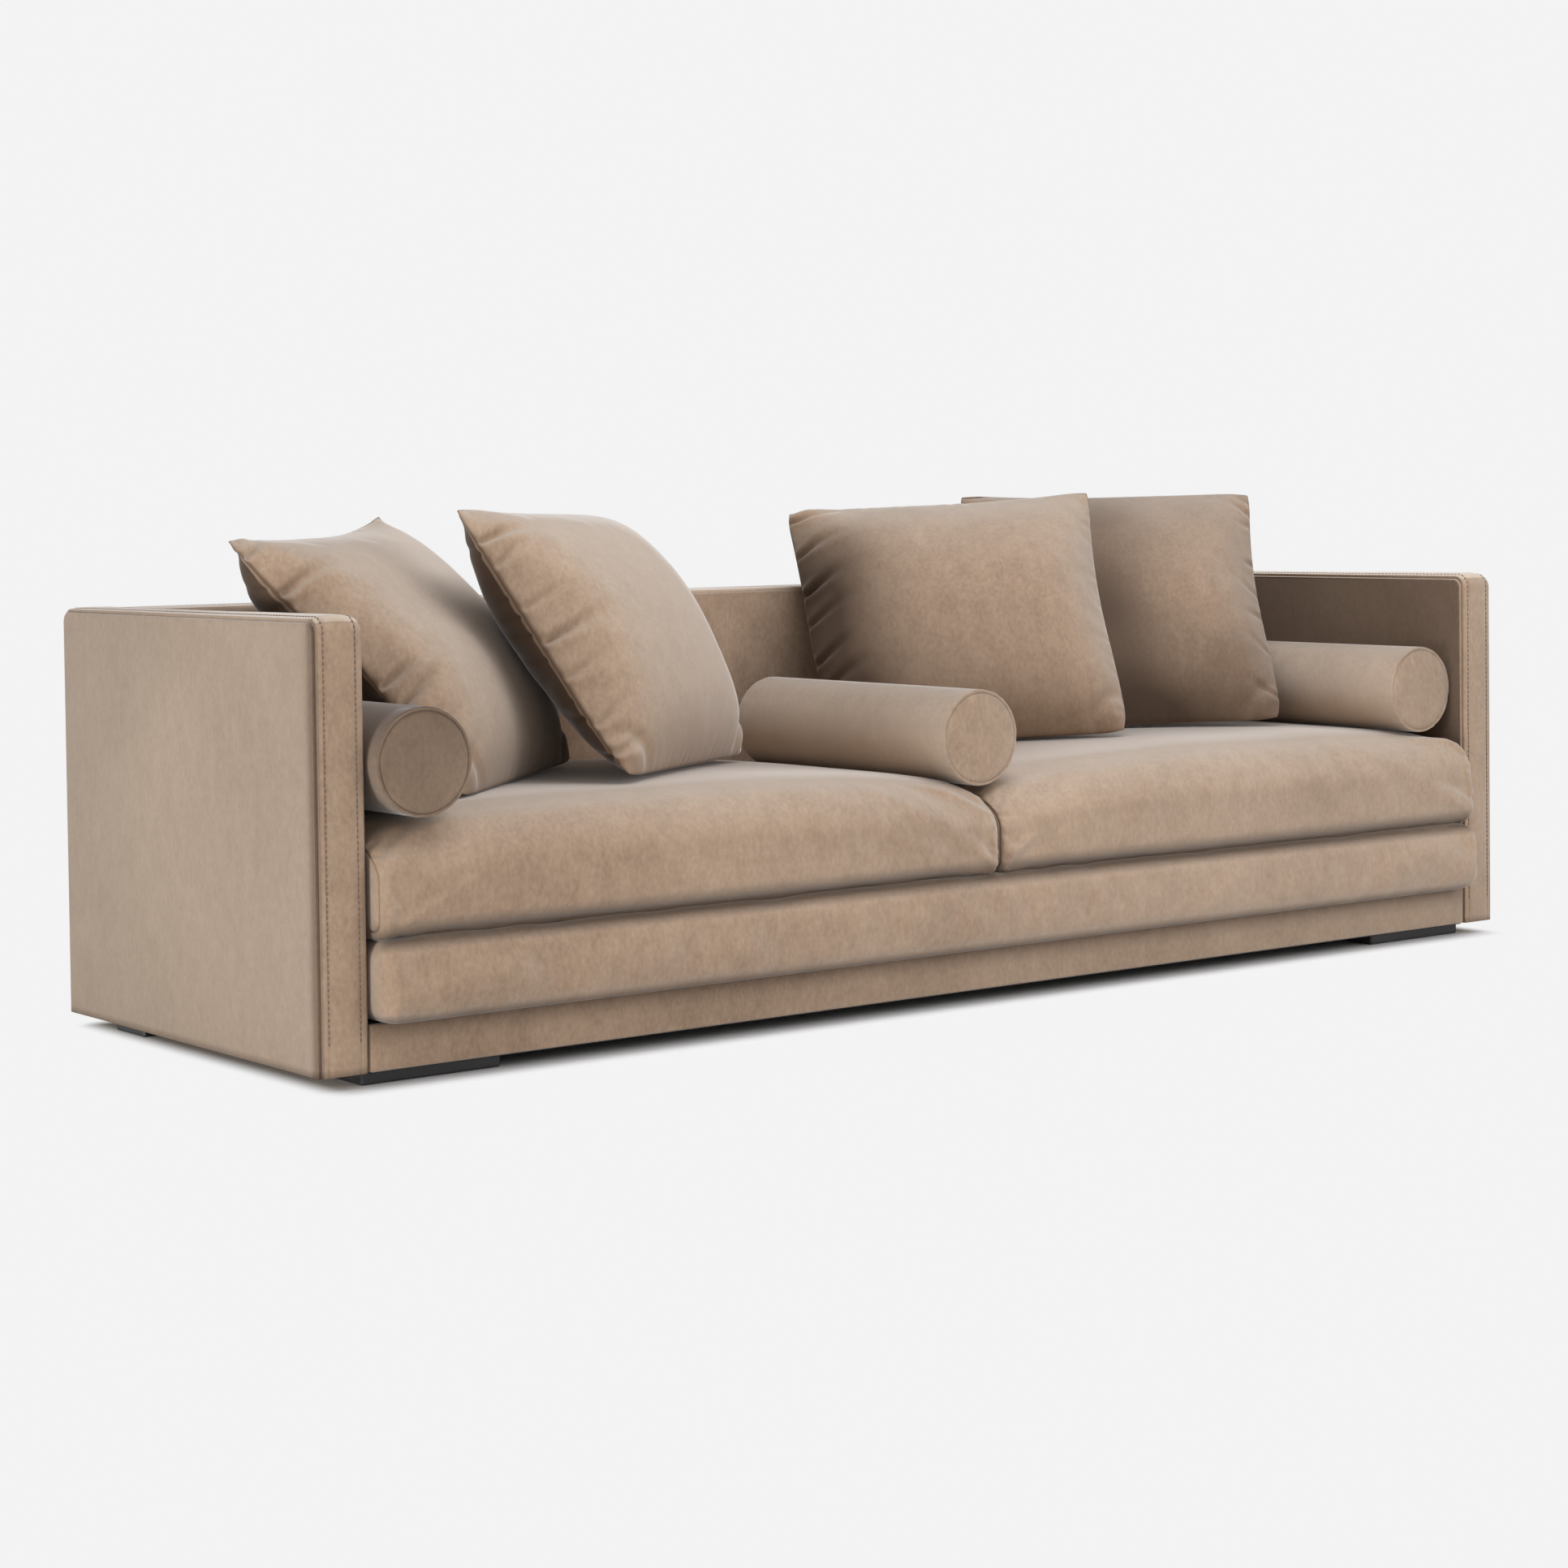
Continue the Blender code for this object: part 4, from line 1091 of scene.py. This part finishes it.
def press_ends(piece, low, high, seed):
    """Draw in the seam of each end panel and press the gathers beside it."""
    rows, ways = net_of(piece)
    height = rows[:, 2] - (low.z + high.z) / 2
    girth = height + np.sign(height) * (rows[:, 1] - low.y)
    wrap = (abs(ways[:, 0]) < FLAT_FACING) * share(-rows[:, 1] / 0.1)
    for count, end in enumerate((low.x, high.x)):
        pulled = gathers(girth + 1.0, abs(rows[:, 0] - end), 2.0, SEAT_GATHER_STEP, SEAT_GATHER,
                         SEAT_GATHER_REACH, seed + 50 * count)
        rows -= ways * (wrap * pulled)[:, None]
    rows[:, 0] += END_SEAM_DEPTH * seam_of(piece) * np.sign((low.x + high.x) / 2 - rows[:, 0])
    move_points(piece, rows)


def seat_cushion(side, seed):
    """One stuffed seat cushion."""
    low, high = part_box("seat_cushion_" + side)
    centre = (low + high) / 2
    half = (high - low) / 2
    start_low = low + Vector((SEAT_GAP, SEAT_SWELL, 0.0))
    start_high = high - Vector((SEAT_GAP, SEAT_REAR_GAP, SEAT_SWELL))
    piece = seat_block(side, start_low, start_high)
    round_shoulders(piece, start_low.x, start_high.x)
    sew_ends(piece, 0, SEAT_PANEL_RINGS)
    rows = points_of(piece)
    across = (rows[:, 0] - centre.x) / half.x
    along = (rows[:, 1] - centre.y) / half.y
    upper = share((rows[:, 2] - low.z) / (2 * half.z))
    fall = share(1 - (rows[:, 1] - low.y) / SEAT_DROP_LENGTH)
    arm_side = across < 0 if side == "left" else across > 0
    pressed = share(1 - (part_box("bolster_" + side)[0].y - rows[:, 1]) / SEAT_RECOVERY)
    ends = np.where(arm_side, SEAT_ARM_CROWN * across ** 4 * pressed, SEAT_CROWN * abs(across) ** 2.5)
    crown = ends + SEAT_CROWN_DEPTH * abs(along) ** 3
    held = np.maximum(abs(across) > 1 - 0.003, upper < 0.01).astype(float)
    rows[:, 2] -= (crown + SEAT_DROP * fall ** 2) * upper
    rows[:, 1] += SEAT_BOW * across ** 2 * share(-along) ** 3
    rows[:, 2] += upper * SEAT_WAVE * drift(rows, 0.2, seed)
    move_points(piece, rows)
    stuff(piece, held, 4.0, 0.02, 0.008, 14)
    smooth_skin(piece)
    press_ends(piece, start_low, start_high, seed)
    rows = points_of(piece)
    # Painted shade in the crease over the pad and on the rear of the top beside the pillows.
    below = CREASE_SHADE * share(1 - (rows[:, 2] - low.z) / (2 * CREASE))
    behind = SEAT_REAR_SHADE * share((rows[:, 1] - SEAT_REAR_FADE[0]) / SEAT_REAR_FADE[1])
    mark(piece, "pile_and_painted_light", np.maximum(below, behind))
    dress(piece, VELOUR, side + "_seat", "velour", "seat_cushion_" + side)


for side, seed in (("left", 11), ("right", 12)):
    seat_cushion(side, seed)

# %% [markdown]
# ## The bolsters
#
# A bolster is a tube of cloth over a round core, with a sewn disc at each end. Seen close, the disc is
# slightly domed and its ring seam is drawn in. One bolster is turned from a cylinder, its ends are inset
# into rings, it is stuffed once, and then copied to its three places, each copy rolled a little so that
# no two look alike.

# %% Bolsters
BOLSTER_INSET = (0.003, 0.004)
BOLSTER_ROUND = 0.0035
BOLSTER_PANEL_RINGS = (0.0008, 0.0026, 0.008, 0.014, 0.016, 0.016)
BOLSTER_SEAM_DEPTH = 0.0018
BOLSTER_SEAM_SHADE = 0.50
BOLSTER_GATHER = (0.035, 0.0016, 0.03)
# Painted highlight on the flank that faces left, where a bolster has no painted shade all over.
BOLSTER_FLANK_HIGHLIGHT = 0.36
# How far each is rolled, in degrees, and how much painted shade it has all over and on top.
BOLSTERS = {"left": (20, 0.50, 0.45), "middle": (140, 0.0, 0.36), "right": (255, 0.0, 0.30)}


def bolster_form(radius, length):
    """One stuffed bolster along Y, about the origin."""
    let_go()
    bpy.ops.mesh.primitive_cylinder_add(vertices=96, radius=radius - BOLSTER_INSET[0],
                                        depth=length - BOLSTER_INSET[1], rotation=(math.radians(90), 0, 0))
    piece = settle("bolster_pattern")
    slice_along(piece, 1, 50)
    round_sharp(piece, BOLSTER_ROUND, 4)
    take(piece)
    steady(piece)
    sew_ends(piece, 1, BOLSTER_PANEL_RINGS)
    stuff(piece, (seam_of(piece) > 0.5).astype(float), 3.0, 0.012, 0.003, 12, stiffness=30.0)
    smooth_skin(piece)
    rows, ways = net_of(piece)
    around = np.arctan2(rows[:, 2], rows[:, 0]) * radius
    tube = abs(ways[:, 1]) < 0.7
    for count, end in enumerate((-length / 2, length / 2)):
        pulled = gathers(around + math.pi * radius, abs(rows[:, 1] - end), 2 * math.pi * radius,
                         *BOLSTER_GATHER, 31 + count)
        rows -= ways * (tube * pulled)[:, None]
    rows[:, 1] -= BOLSTER_SEAM_DEPTH * seam_of(piece) * np.sign(rows[:, 1])
    move_points(piece, rows)
    # Painted shade in the ring seams.
    mark(piece, "seam", BOLSTER_SEAM_SHADE * seam_of(piece))
    return piece


def copy_of(piece, name, change):
    """A copy with its own mesh, moved by a matrix."""
    twin = bpy.data.objects.new(name, piece.data.copy())
    twin.data.name = name
    twin.data.transform(change)
    bpy.context.scene.collection.objects.link(twin)
    return twin


low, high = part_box("bolster_middle")
pattern = bolster_form((high.x - low.x) / 2, high.y - low.y)
for side, (roll, all_over, on_top) in BOLSTERS.items():
    low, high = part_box("bolster_" + side)
    place = Matrix.Translation((low + high) / 2) @ Matrix.Rotation(math.radians(roll), 4, "Y")
    bolster = copy_of(pattern, side + "_bolster_cushion", place)
    ways = normals_of(bolster)
    # Painted shade all over, varied a little, and on top; and a painted highlight on the left flank.
    flank = share(-ways[:, 0]) * (all_over == 0)
    pile_and_painted_light = all_over * (1 + 0.3 * drift(points_of(bolster), 0.1, roll)) - BOLSTER_FLANK_HIGHLIGHT * flank
    mark(bolster, "pile_and_painted_light", pile_and_painted_light + on_top * share(ways[:, 2]))
    dress(bolster, VELOUR, side + "_bolster", "velour", "bolster_" + side)
bpy.data.objects.remove(pattern)

# %% [markdown]
# ## The pillows
#
# A knife-edge pillow is two square panels sewn to each other all round and stuffed through one side. Its
# edge stays thin and its middle is full, and the panels gather along the seam, most near the corners. A
# grid with two faces is the flat cover. It is swelled to a thin pillow, its seam is held, the stuffing
# fills it, and a light smoothing of all but the seam takes out what is finer than cloth. Each of the four
# is stuffed by itself, so each has its own gathers. They lean on the back, on the bolsters and on each
# other, so each is then turned to the way its solid leans and set in that solid's place.

# %% Pillow values
PILLOW_WIDTH = 0.600
PILLOW_HEIGHT = 0.530
PILLOW_DRAW_IN = 0.025
PILLOW_TUCK = 0.09
CORNER_TUCK = 0.25
PILLOW_EDGE = 0.070
PILLOW_STEP = 0.0075
PILLOW_START = 0.90
PILLOW_CORNER = 0.025
PILLOW_WAVE = 0.05
SEAM_THICKNESS = 0.0016
SEAM_SINK = 0.0016
FREE_SWELL = 0.112
PRESSED_SWELL = 0.090
FLAT_SWELL = 0.055
SIDE_PRESS = 0.12
SMOOTH_ROUNDS = 8
# "lean" is the turn, tilt and spin in degrees, "front" and "rear" how full each panel is. "sides" is how
# far the left and right side are drawn in at half height, "top" how far the left corner, the middle and
# the right corner of the top are raised, "shift" how far the top slides to the right, "over" how far it
# hangs back over the arm, "behind" and "plump" how much fuller the free part of the rear and the right of
# the front are, and "gather" how deep the creases of both sides are. The four marks of the pile are
# painted shade, partly for the pile too: how dark all over, at the left side, at the foot and on the rear
# panel. "spot" is one more place of painted shade, where a neighbour casts its shadow; below zero it is a
# painted highlight instead: how dark, where across and up, how wide and how tall.
PLAIN_PILLOW = {"front": FREE_SWELL, "rear": PRESSED_SWELL, "shift": 0.0, "over": 0.0, "behind": 0.0,
                "plump": 0.0, "tuck": PILLOW_TUCK, "spot": (0.0, 0.0, 0.0, 1.0, 1.0)}
PILLOWS = {
    "left_back": {**PLAIN_PILLOW, "lean": (37.0, 40.0, 1.6), "rear": FLAT_SWELL,
                  "sides": (SIDE_PRESS, 0.04), "top": (0.004, -0.008, 0.030), "over": 0.036,
                  "behind": 0.065, "gather": (0.012, 0.002), "pile_and_painted_light": (0.0, 0.0, 0.32, 0.90),
                  "spot": (-0.50, 0.45, 0.25, 0.35, 0.45), "calm": 0.6, "seed": 21},
    "left_front": {**PLAIN_PILLOW, "lean": (34.0, 33.5, -1.0), "sides": (PILLOW_DRAW_IN, -0.02),
                   "top": (-0.002, -0.010, -0.018), "shift": -0.008, "behind": 0.016, "plump": 0.018,
                   "gather": (0.013, 0.002), "pile_and_painted_light": (0.0, 0.0, 0.15, 1.0), "calm": 0.5, "seed": 22},
    "right_back": {**PLAIN_PILLOW, "lean": (-31.0, 33.0, 1.0), "front": PRESSED_SWELL,
                   "sides": (PILLOW_DRAW_IN, 0.09), "top": (0.014, 0.006, 0.0), "gather": (0.006, 0.006),
                   "pile_and_painted_light": (0.30, 0.55, 0.85, 0.20), "spot": (0.55, -0.15, 0.2, 0.28, 0.9), "calm": 0.2,
                   "seed": 23},
    "right_front": {**PLAIN_PILLOW, "lean": (-30.0, 31.0, 2.0), "sides": (PILLOW_DRAW_IN, 0.085),
                    "top": (-0.016, -0.008, 0.003), "shift": -0.014, "tuck": CORNER_TUCK,
                    "gather": (0.013, 0.0015), "pile_and_painted_light": (0.13, 1.0, 0.34, 0.20), "calm": 0.3, "seed": 24},
}
print("pillows", sorted(PILLOWS))


# %% Pillow covers
def pillow_pattern(name):
    """Two flat panels, sewn all round, from -1 to 1; the points remember their place in the panel."""
    let_go()
    bpy.ops.mesh.primitive_grid_add(x_subdivisions=round(PILLOW_WIDTH / PILLOW_STEP),
                                    y_subdivisions=round(PILLOW_HEIGHT / PILLOW_STEP),
                                    size=2, rotation=(math.radians(90), 0, 0))
    piece = settle(name)
    wall(piece, SEAM_THICKNESS)
    rows = points_of(piece)
    rows[:, 1] = np.where(rows[:, 1] > rows[:, 1].mean(), 1.0, -1.0)
    rows = np.clip(rows, -1, 1)
    panel = piece.data.attributes.new("panel", "FLOAT_VECTOR", "POINT")
    panel.data.foreach_set("vector", rows.astype(np.float32).ravel())
    return piece, rows


def panel_of(piece):
    """Place of each point in its panel: across, which panel, up."""
    return rows_from(piece.data.attributes["panel"].data, "vector").T


def rise(place, width):
    """How full a panel is between two seams, from 0 at the seams to 1 half way."""
    quarter = width / 4
    return (1 - np.exp(-quarter * (1 - place ** 2) / PILLOW_EDGE)) / (1 - math.exp(-quarter / PILLOW_EDGE))


def pillow_cover(name, make):
    """A stuffed knife-edge pillow, upright in X and Z about the origin."""
    piece, rows = pillow_pattern(name)
    a, face, b = rows.T
    seam = (abs(a) > 0.9999) | (abs(b) > 0.9999)
    left = share(-a)
    right = share(a)
    upper = share(b)
    lower = share(-b)
    wave = 1 + PILLOW_WAVE * drift(rows, 0.6, make["seed"])
    swell = rise(a, PILLOW_WIDTH) * rise(b, PILLOW_HEIGHT) * wave
    free_rear = share((b + 0.2) / 0.6) * share((0.6 - a) / 0.8) * make["behind"]
    depth = np.where(face < 0, make["front"] + make["plump"] * (1 + a) / 2, make["rear"] + free_rear)
    draw_in = np.where(a < 0, *make["sides"])
    tuck = np.where(a < 0, make["tuck"], PILLOW_TUCK) * lower ** 3
    bow = np.where(b > 0, 1 - a * a, 1.0)
    corner = 1 - PILLOW_CORNER * share((abs(a * b) - 0.8) / 0.2) ** 2
    raised = make["top"][0] * left ** 2 + make["top"][1] * (1 - a * a) + make["top"][2] * right ** 2
    x = a * PILLOW_WIDTH / 2 * (1 - draw_in * (1 - b * b) * a * a - tuck) * corner
    x += make["shift"] * (1 + b) / 2
    y = face * (SEAM_THICKNESS / 2 + swell * depth * PILLOW_START)
    z = b * PILLOW_HEIGHT / 2 * (1 - PILLOW_DRAW_IN * bow * b * b) * corner + raised * upper ** 2
    move_points(piece, np.stack((x, y, z), 1))
    # Painted shade along the seam, which also guides the gathers.
    mark(piece, "seam", seam)
    calm = np.clip(make["calm"] + 0.9 * lower + 0.5 * upper - 0.9 * left ** 3 * (1 - lower ** 4), 0, 0.9)
    stuff(piece, seam.astype(float), 4.0, 0.035, 0.022, 16, calm=calm)
    pick(piece, "VERT", lambda v: not seam[v.index])
    bpy.ops.mesh.vertices_smooth(factor=0.5, repeat=SMOOTH_ROUNDS)
    take(piece)
    rows = points_of(piece)
    wanted = swell * depth
    rows[:, 1] *= np.where(face < 0, wanted[face < 0].max() / -rows[:, 1].min(),
                           wanted[face > 0].max() / rows[:, 1].max())
    move_points(piece, rows)
    smooth_skin(piece)
    return piece


# %% [markdown]
# Two things are pressed into a stuffed pillow as with a brush: the gathers beside its seams, and an ear
# folded at each lower corner. The rear panel gathers less, because what it leans on stretches it. Then
# painted shade and painted highlight are marked, partly for the pile too.

# %% Gathers and painted shade of the pillows
GATHER_STEP = 0.058
REAR_GATHER = 0.30
GATHER_AT_SEAM = 0.12
LEFT_REACH, RIGHT_REACH, END_REACH = 0.125, 0.070, 0.045
LEFT_TILT, RIGHT_TILT = 0.25, 0.10
FOOT_GATHER, TOP_GATHER = 0.0009, 0.0012
EAR_REACH = 0.078
EAR_DEPTH = 0.006
EAR_FOLD, EAR_SWELL = 0.013, 0.020
# How far the painted shade reaches from the left side and on the rear panel.
SIDE_SHADE_REACH = 0.13
REAR_SHADE_REACH = 0.22
OVER_FROM, OVER_HEIGHT = 0.09, 0.13


def press_gathers(piece, make):
    """Draw the seam in, press gathers square to all four sides and fold an ear at each lower corner."""
    a, face, b = panel_of(piece)
    rows, ways = net_of(piece)
    x = a * PILLOW_WIDTH / 2
    z = b * PILLOW_HEIGHT / 2
    sides = ((z, PILLOW_WIDTH / 2 + x, PILLOW_HEIGHT, make["gather"][0], LEFT_REACH, LEFT_TILT),
             (z, PILLOW_WIDTH / 2 - x, PILLOW_HEIGHT, make["gather"][1], RIGHT_REACH, RIGHT_TILT),
             (x, PILLOW_HEIGHT / 2 + z, PILLOW_WIDTH, FOOT_GATHER, END_REACH, 0.0),
             (x, PILLOW_HEIGHT / 2 - z, PILLOW_WIDTH, TOP_GATHER, END_REACH, 0.0))
    pulled = SEAM_SINK * seam_of(piece)
    for count, (along, away, length, depth, reach, tilt) in enumerate(sides):
        for panel, portion, start in ((-1, 1.0, 0), (1, REAR_GATHER, 5)):
            creases = gathers(along + length / 2, away, length, GATHER_STEP, depth * portion, reach,
                              make["seed"] * 10 + start + count, tilt, GATHER_AT_SEAM)
            pulled += np.where(face * panel > 0, creases, 0.0)
    for end in (-1, 1):
        corner = np.hypot(x - end * PILLOW_WIDTH / 2, z + PILLOW_HEIGHT / 2)
        slope = np.arctan2(z + PILLOW_HEIGHT / 2, np.maximum(PILLOW_WIDTH / 2 - end * x, 1e-6))
        fold = np.exp(-((corner - EAR_REACH) / EAR_FOLD) ** 2)
        fold -= 0.6 * np.exp(-((corner - EAR_REACH * 0.62) / EAR_SWELL) ** 2)
        pulled += np.where(face < 0, EAR_DEPTH * fold * share(np.sin(2 * slope)) ** 0.7, 0.0)
    move_points(piece, rows - ways * pulled[:, None])
    return rows


def mark_painted_light(piece, make, rows):
    """Mark the painted shade and painted highlights, partly for the pile too."""
    a, face, b = panel_of(piece)
    from_left = PILLOW_WIDTH / 2 * (1 + a)
    all_over, at_side, at_foot, behind = make["pile_and_painted_light"]
    dark, spot_a, spot_b, wide, tall = make["spot"]
    # Painted shade all over, at the left side, at the foot, in the spot and on the rear panel; a spot below
    # zero is a painted highlight.
    pile_and_painted_light = all_over + at_side * np.exp(-(from_left / SIDE_SHADE_REACH) ** 2) * share((0.85 - b) / 0.5)
    pile_and_painted_light += at_foot * share(-b) ** 1.5 * (1 - 0.6 * share(a))
    pile_and_painted_light += dark * np.exp(-((a - spot_a) / wide) ** 2 - ((b - spot_b) / tall) ** 2)
    pile_and_painted_light += behind * ((face > 0) & (seam_of(piece) < 0.4)) * np.exp(-(from_left / REAR_SHADE_REACH) ** 4)
    mark(piece, "pile_and_painted_light", pile_and_painted_light * (1 + 0.25 * drift(rows, 0.12, make["seed"] + 3)))


def hang_over(piece, make):
    """Let the left part of a pillow that stands above the arms fall back over them."""
    a = panel_of(piece)[0]
    turn = math.radians(make["lean"][0])
    rows = points_of(piece)
    above = share((rows[:, 2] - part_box("back_cover")[1].z + OVER_FROM) / OVER_HEIGHT)
    back = make["over"] * above * above * (3 - 2 * above) * share(0.8 - a)
    rows[:, 0] -= math.sin(turn) * back
    rows[:, 1] += math.cos(turn) * back
    move_points(piece, rows)


def lean(name, make):
    """Matrix of a pillow: the way its solid leans, and where it sits."""
    turn, tilt, spin = (math.radians(angle) for angle in make["lean"])
    way = Matrix.Rotation(turn, 4, "Z") @ Matrix.Rotation(-tilt, 4, "X") @ Matrix.Rotation(-spin, 4, "Y")
    upright = points_of(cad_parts["pillow_" + name]) @ np.array(way.to_3x3())
    low = upright.min(0)
    high = upright.max(0)
    seam_plane = low[1] + (high[1] - low[1]) * make["front"] / (make["front"] + make["rear"])
    print("pillow", name, "solid", [round(v, 3) for v in high - low])
    return way @ Matrix.Translation(((low[0] + high[0]) / 2, seam_plane, high[2] - PILLOW_HEIGHT / 2))


for name, make in PILLOWS.items():
    pillow = pillow_cover(name + "_pillow_cushion", make)
    mark_painted_light(pillow, make, press_gathers(pillow, make))
    pillow.data.transform(lean(name, make))
    hang_over(pillow, make)
    dress(pillow, VELOUR, name + "_pillow", "velour", "pillow_" + name)

# %% [markdown]
# ## Finishes of the bare parts
#
# What the covers hide is still there when a cushion is pulled out or the sofa is turned over: timber
# rails, hardboard, elastic belts, a dark lining, bolts and black feet. Each keeps its solid and gets a
# finish of its own.

# %% Bare finishes
def grain_finish(name, dark, light, scale, stretch, rough, relief):
    """Streaked noise, for timber and board."""
    look, tree, place, shader = start_finish(name)
    streaks = noise_field(tree, place, scale, 6.0, stretch, 0.65, 0.8)
    feed(tree, shader, Base_Color=ramp(tree, streaks, ((0.32, (*dark, 1)), (0.68, (*light, 1)))),
         Normal=bump(tree, streaks, 0.25, relief), Roughness=rough)
    return look


def woven_finish(name, dark, light, pitch, rough):
    """Two crossed waves, for belts and lining."""
    look, tree, place, shader = start_finish(name)
    weave = [node(tree, "ShaderNodeTexWave", bands_direction=direction, Vector=place, Scale=pitch,
                  Distortion=0.4).outputs["Fac"] for direction in ("X", "Y")]
    cross = maths(tree, "MULTIPLY", *weave)
    feed(tree, shader, Base_Color=ramp(tree, cross, ((0.0, (*dark, 1)), (0.8, (*light, 1)))),
         Normal=bump(tree, cross, 0.4, 0.0006), Roughness=rough)
    return look


def steel_finish():
    """Zinc-plated steel with fine brushing."""
    look, tree, place, shader = start_finish("bolt_steel")
    marks = noise_field(tree, place, 260.0, 4.0, stretch=(1, 1, 0.1))
    stops = ((0.3, (0.46, 0.46, 0.47, 1)), (0.7, (0.62, 0.62, 0.61, 1)))
    feed(tree, shader, Base_Color=ramp(tree, marks, stops), Normal=bump(tree, marks, 0.1, 0.0003),
         Metallic=1.0, Roughness=0.38)
    return look


BARE = {
    "timber": grain_finish("pine_rail", (0.42, 0.27, 0.14), (0.66, 0.48, 0.29), 9.0,
                           (0.35, 3.0, 3.0), 0.6, 0.0012),
    "board": grain_finish("hardboard", (0.20, 0.125, 0.07), (0.33, 0.22, 0.13), 160.0,
                          (1, 1, 1), 0.7, 0.0004),
    "black_wood": grain_finish("black_stained_wood", (0.010, 0.009, 0.009), (0.026, 0.023, 0.023), 14.0,
                               (0.4, 3.0, 3.0), 0.42, 0.0006),
    "webbing": woven_finish("elastic_belt", (0.015, 0.015, 0.017), (0.075, 0.072, 0.075), 160.0, 0.75),
    "lining": woven_finish("dust_lining", (0.014, 0.014, 0.014), (0.042, 0.042, 0.043), 320.0, 0.9),
    "steel": steel_finish(),
    "velour": VELOUR,
}
KEYWORDS = (("foot", "black_wood"), ("dust", "lining"), ("webbing", "webbing"), ("bolt_", "steel"),
            ("panel", "board"), ("rail", "timber"), ("post", "timber"), ("stretcher", "timber"),
            ("block", "timber"))


def bare_slot(name):
    """Which finish a solid gets, by the words in its name."""
    for word, slot in KEYWORDS:
        if word in name:
            return slot
    return "velour"


counts = {}
for name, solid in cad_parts.items():
    slot = bare_slot(name)
    solid.data.materials.clear()
    solid.data.materials.append(BARE[slot])
    counts[slot] = counts.get(slot, 0) + 1
print("finishes", counts)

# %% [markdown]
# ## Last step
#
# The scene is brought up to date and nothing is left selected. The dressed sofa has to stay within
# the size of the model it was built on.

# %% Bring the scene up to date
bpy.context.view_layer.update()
let_go()
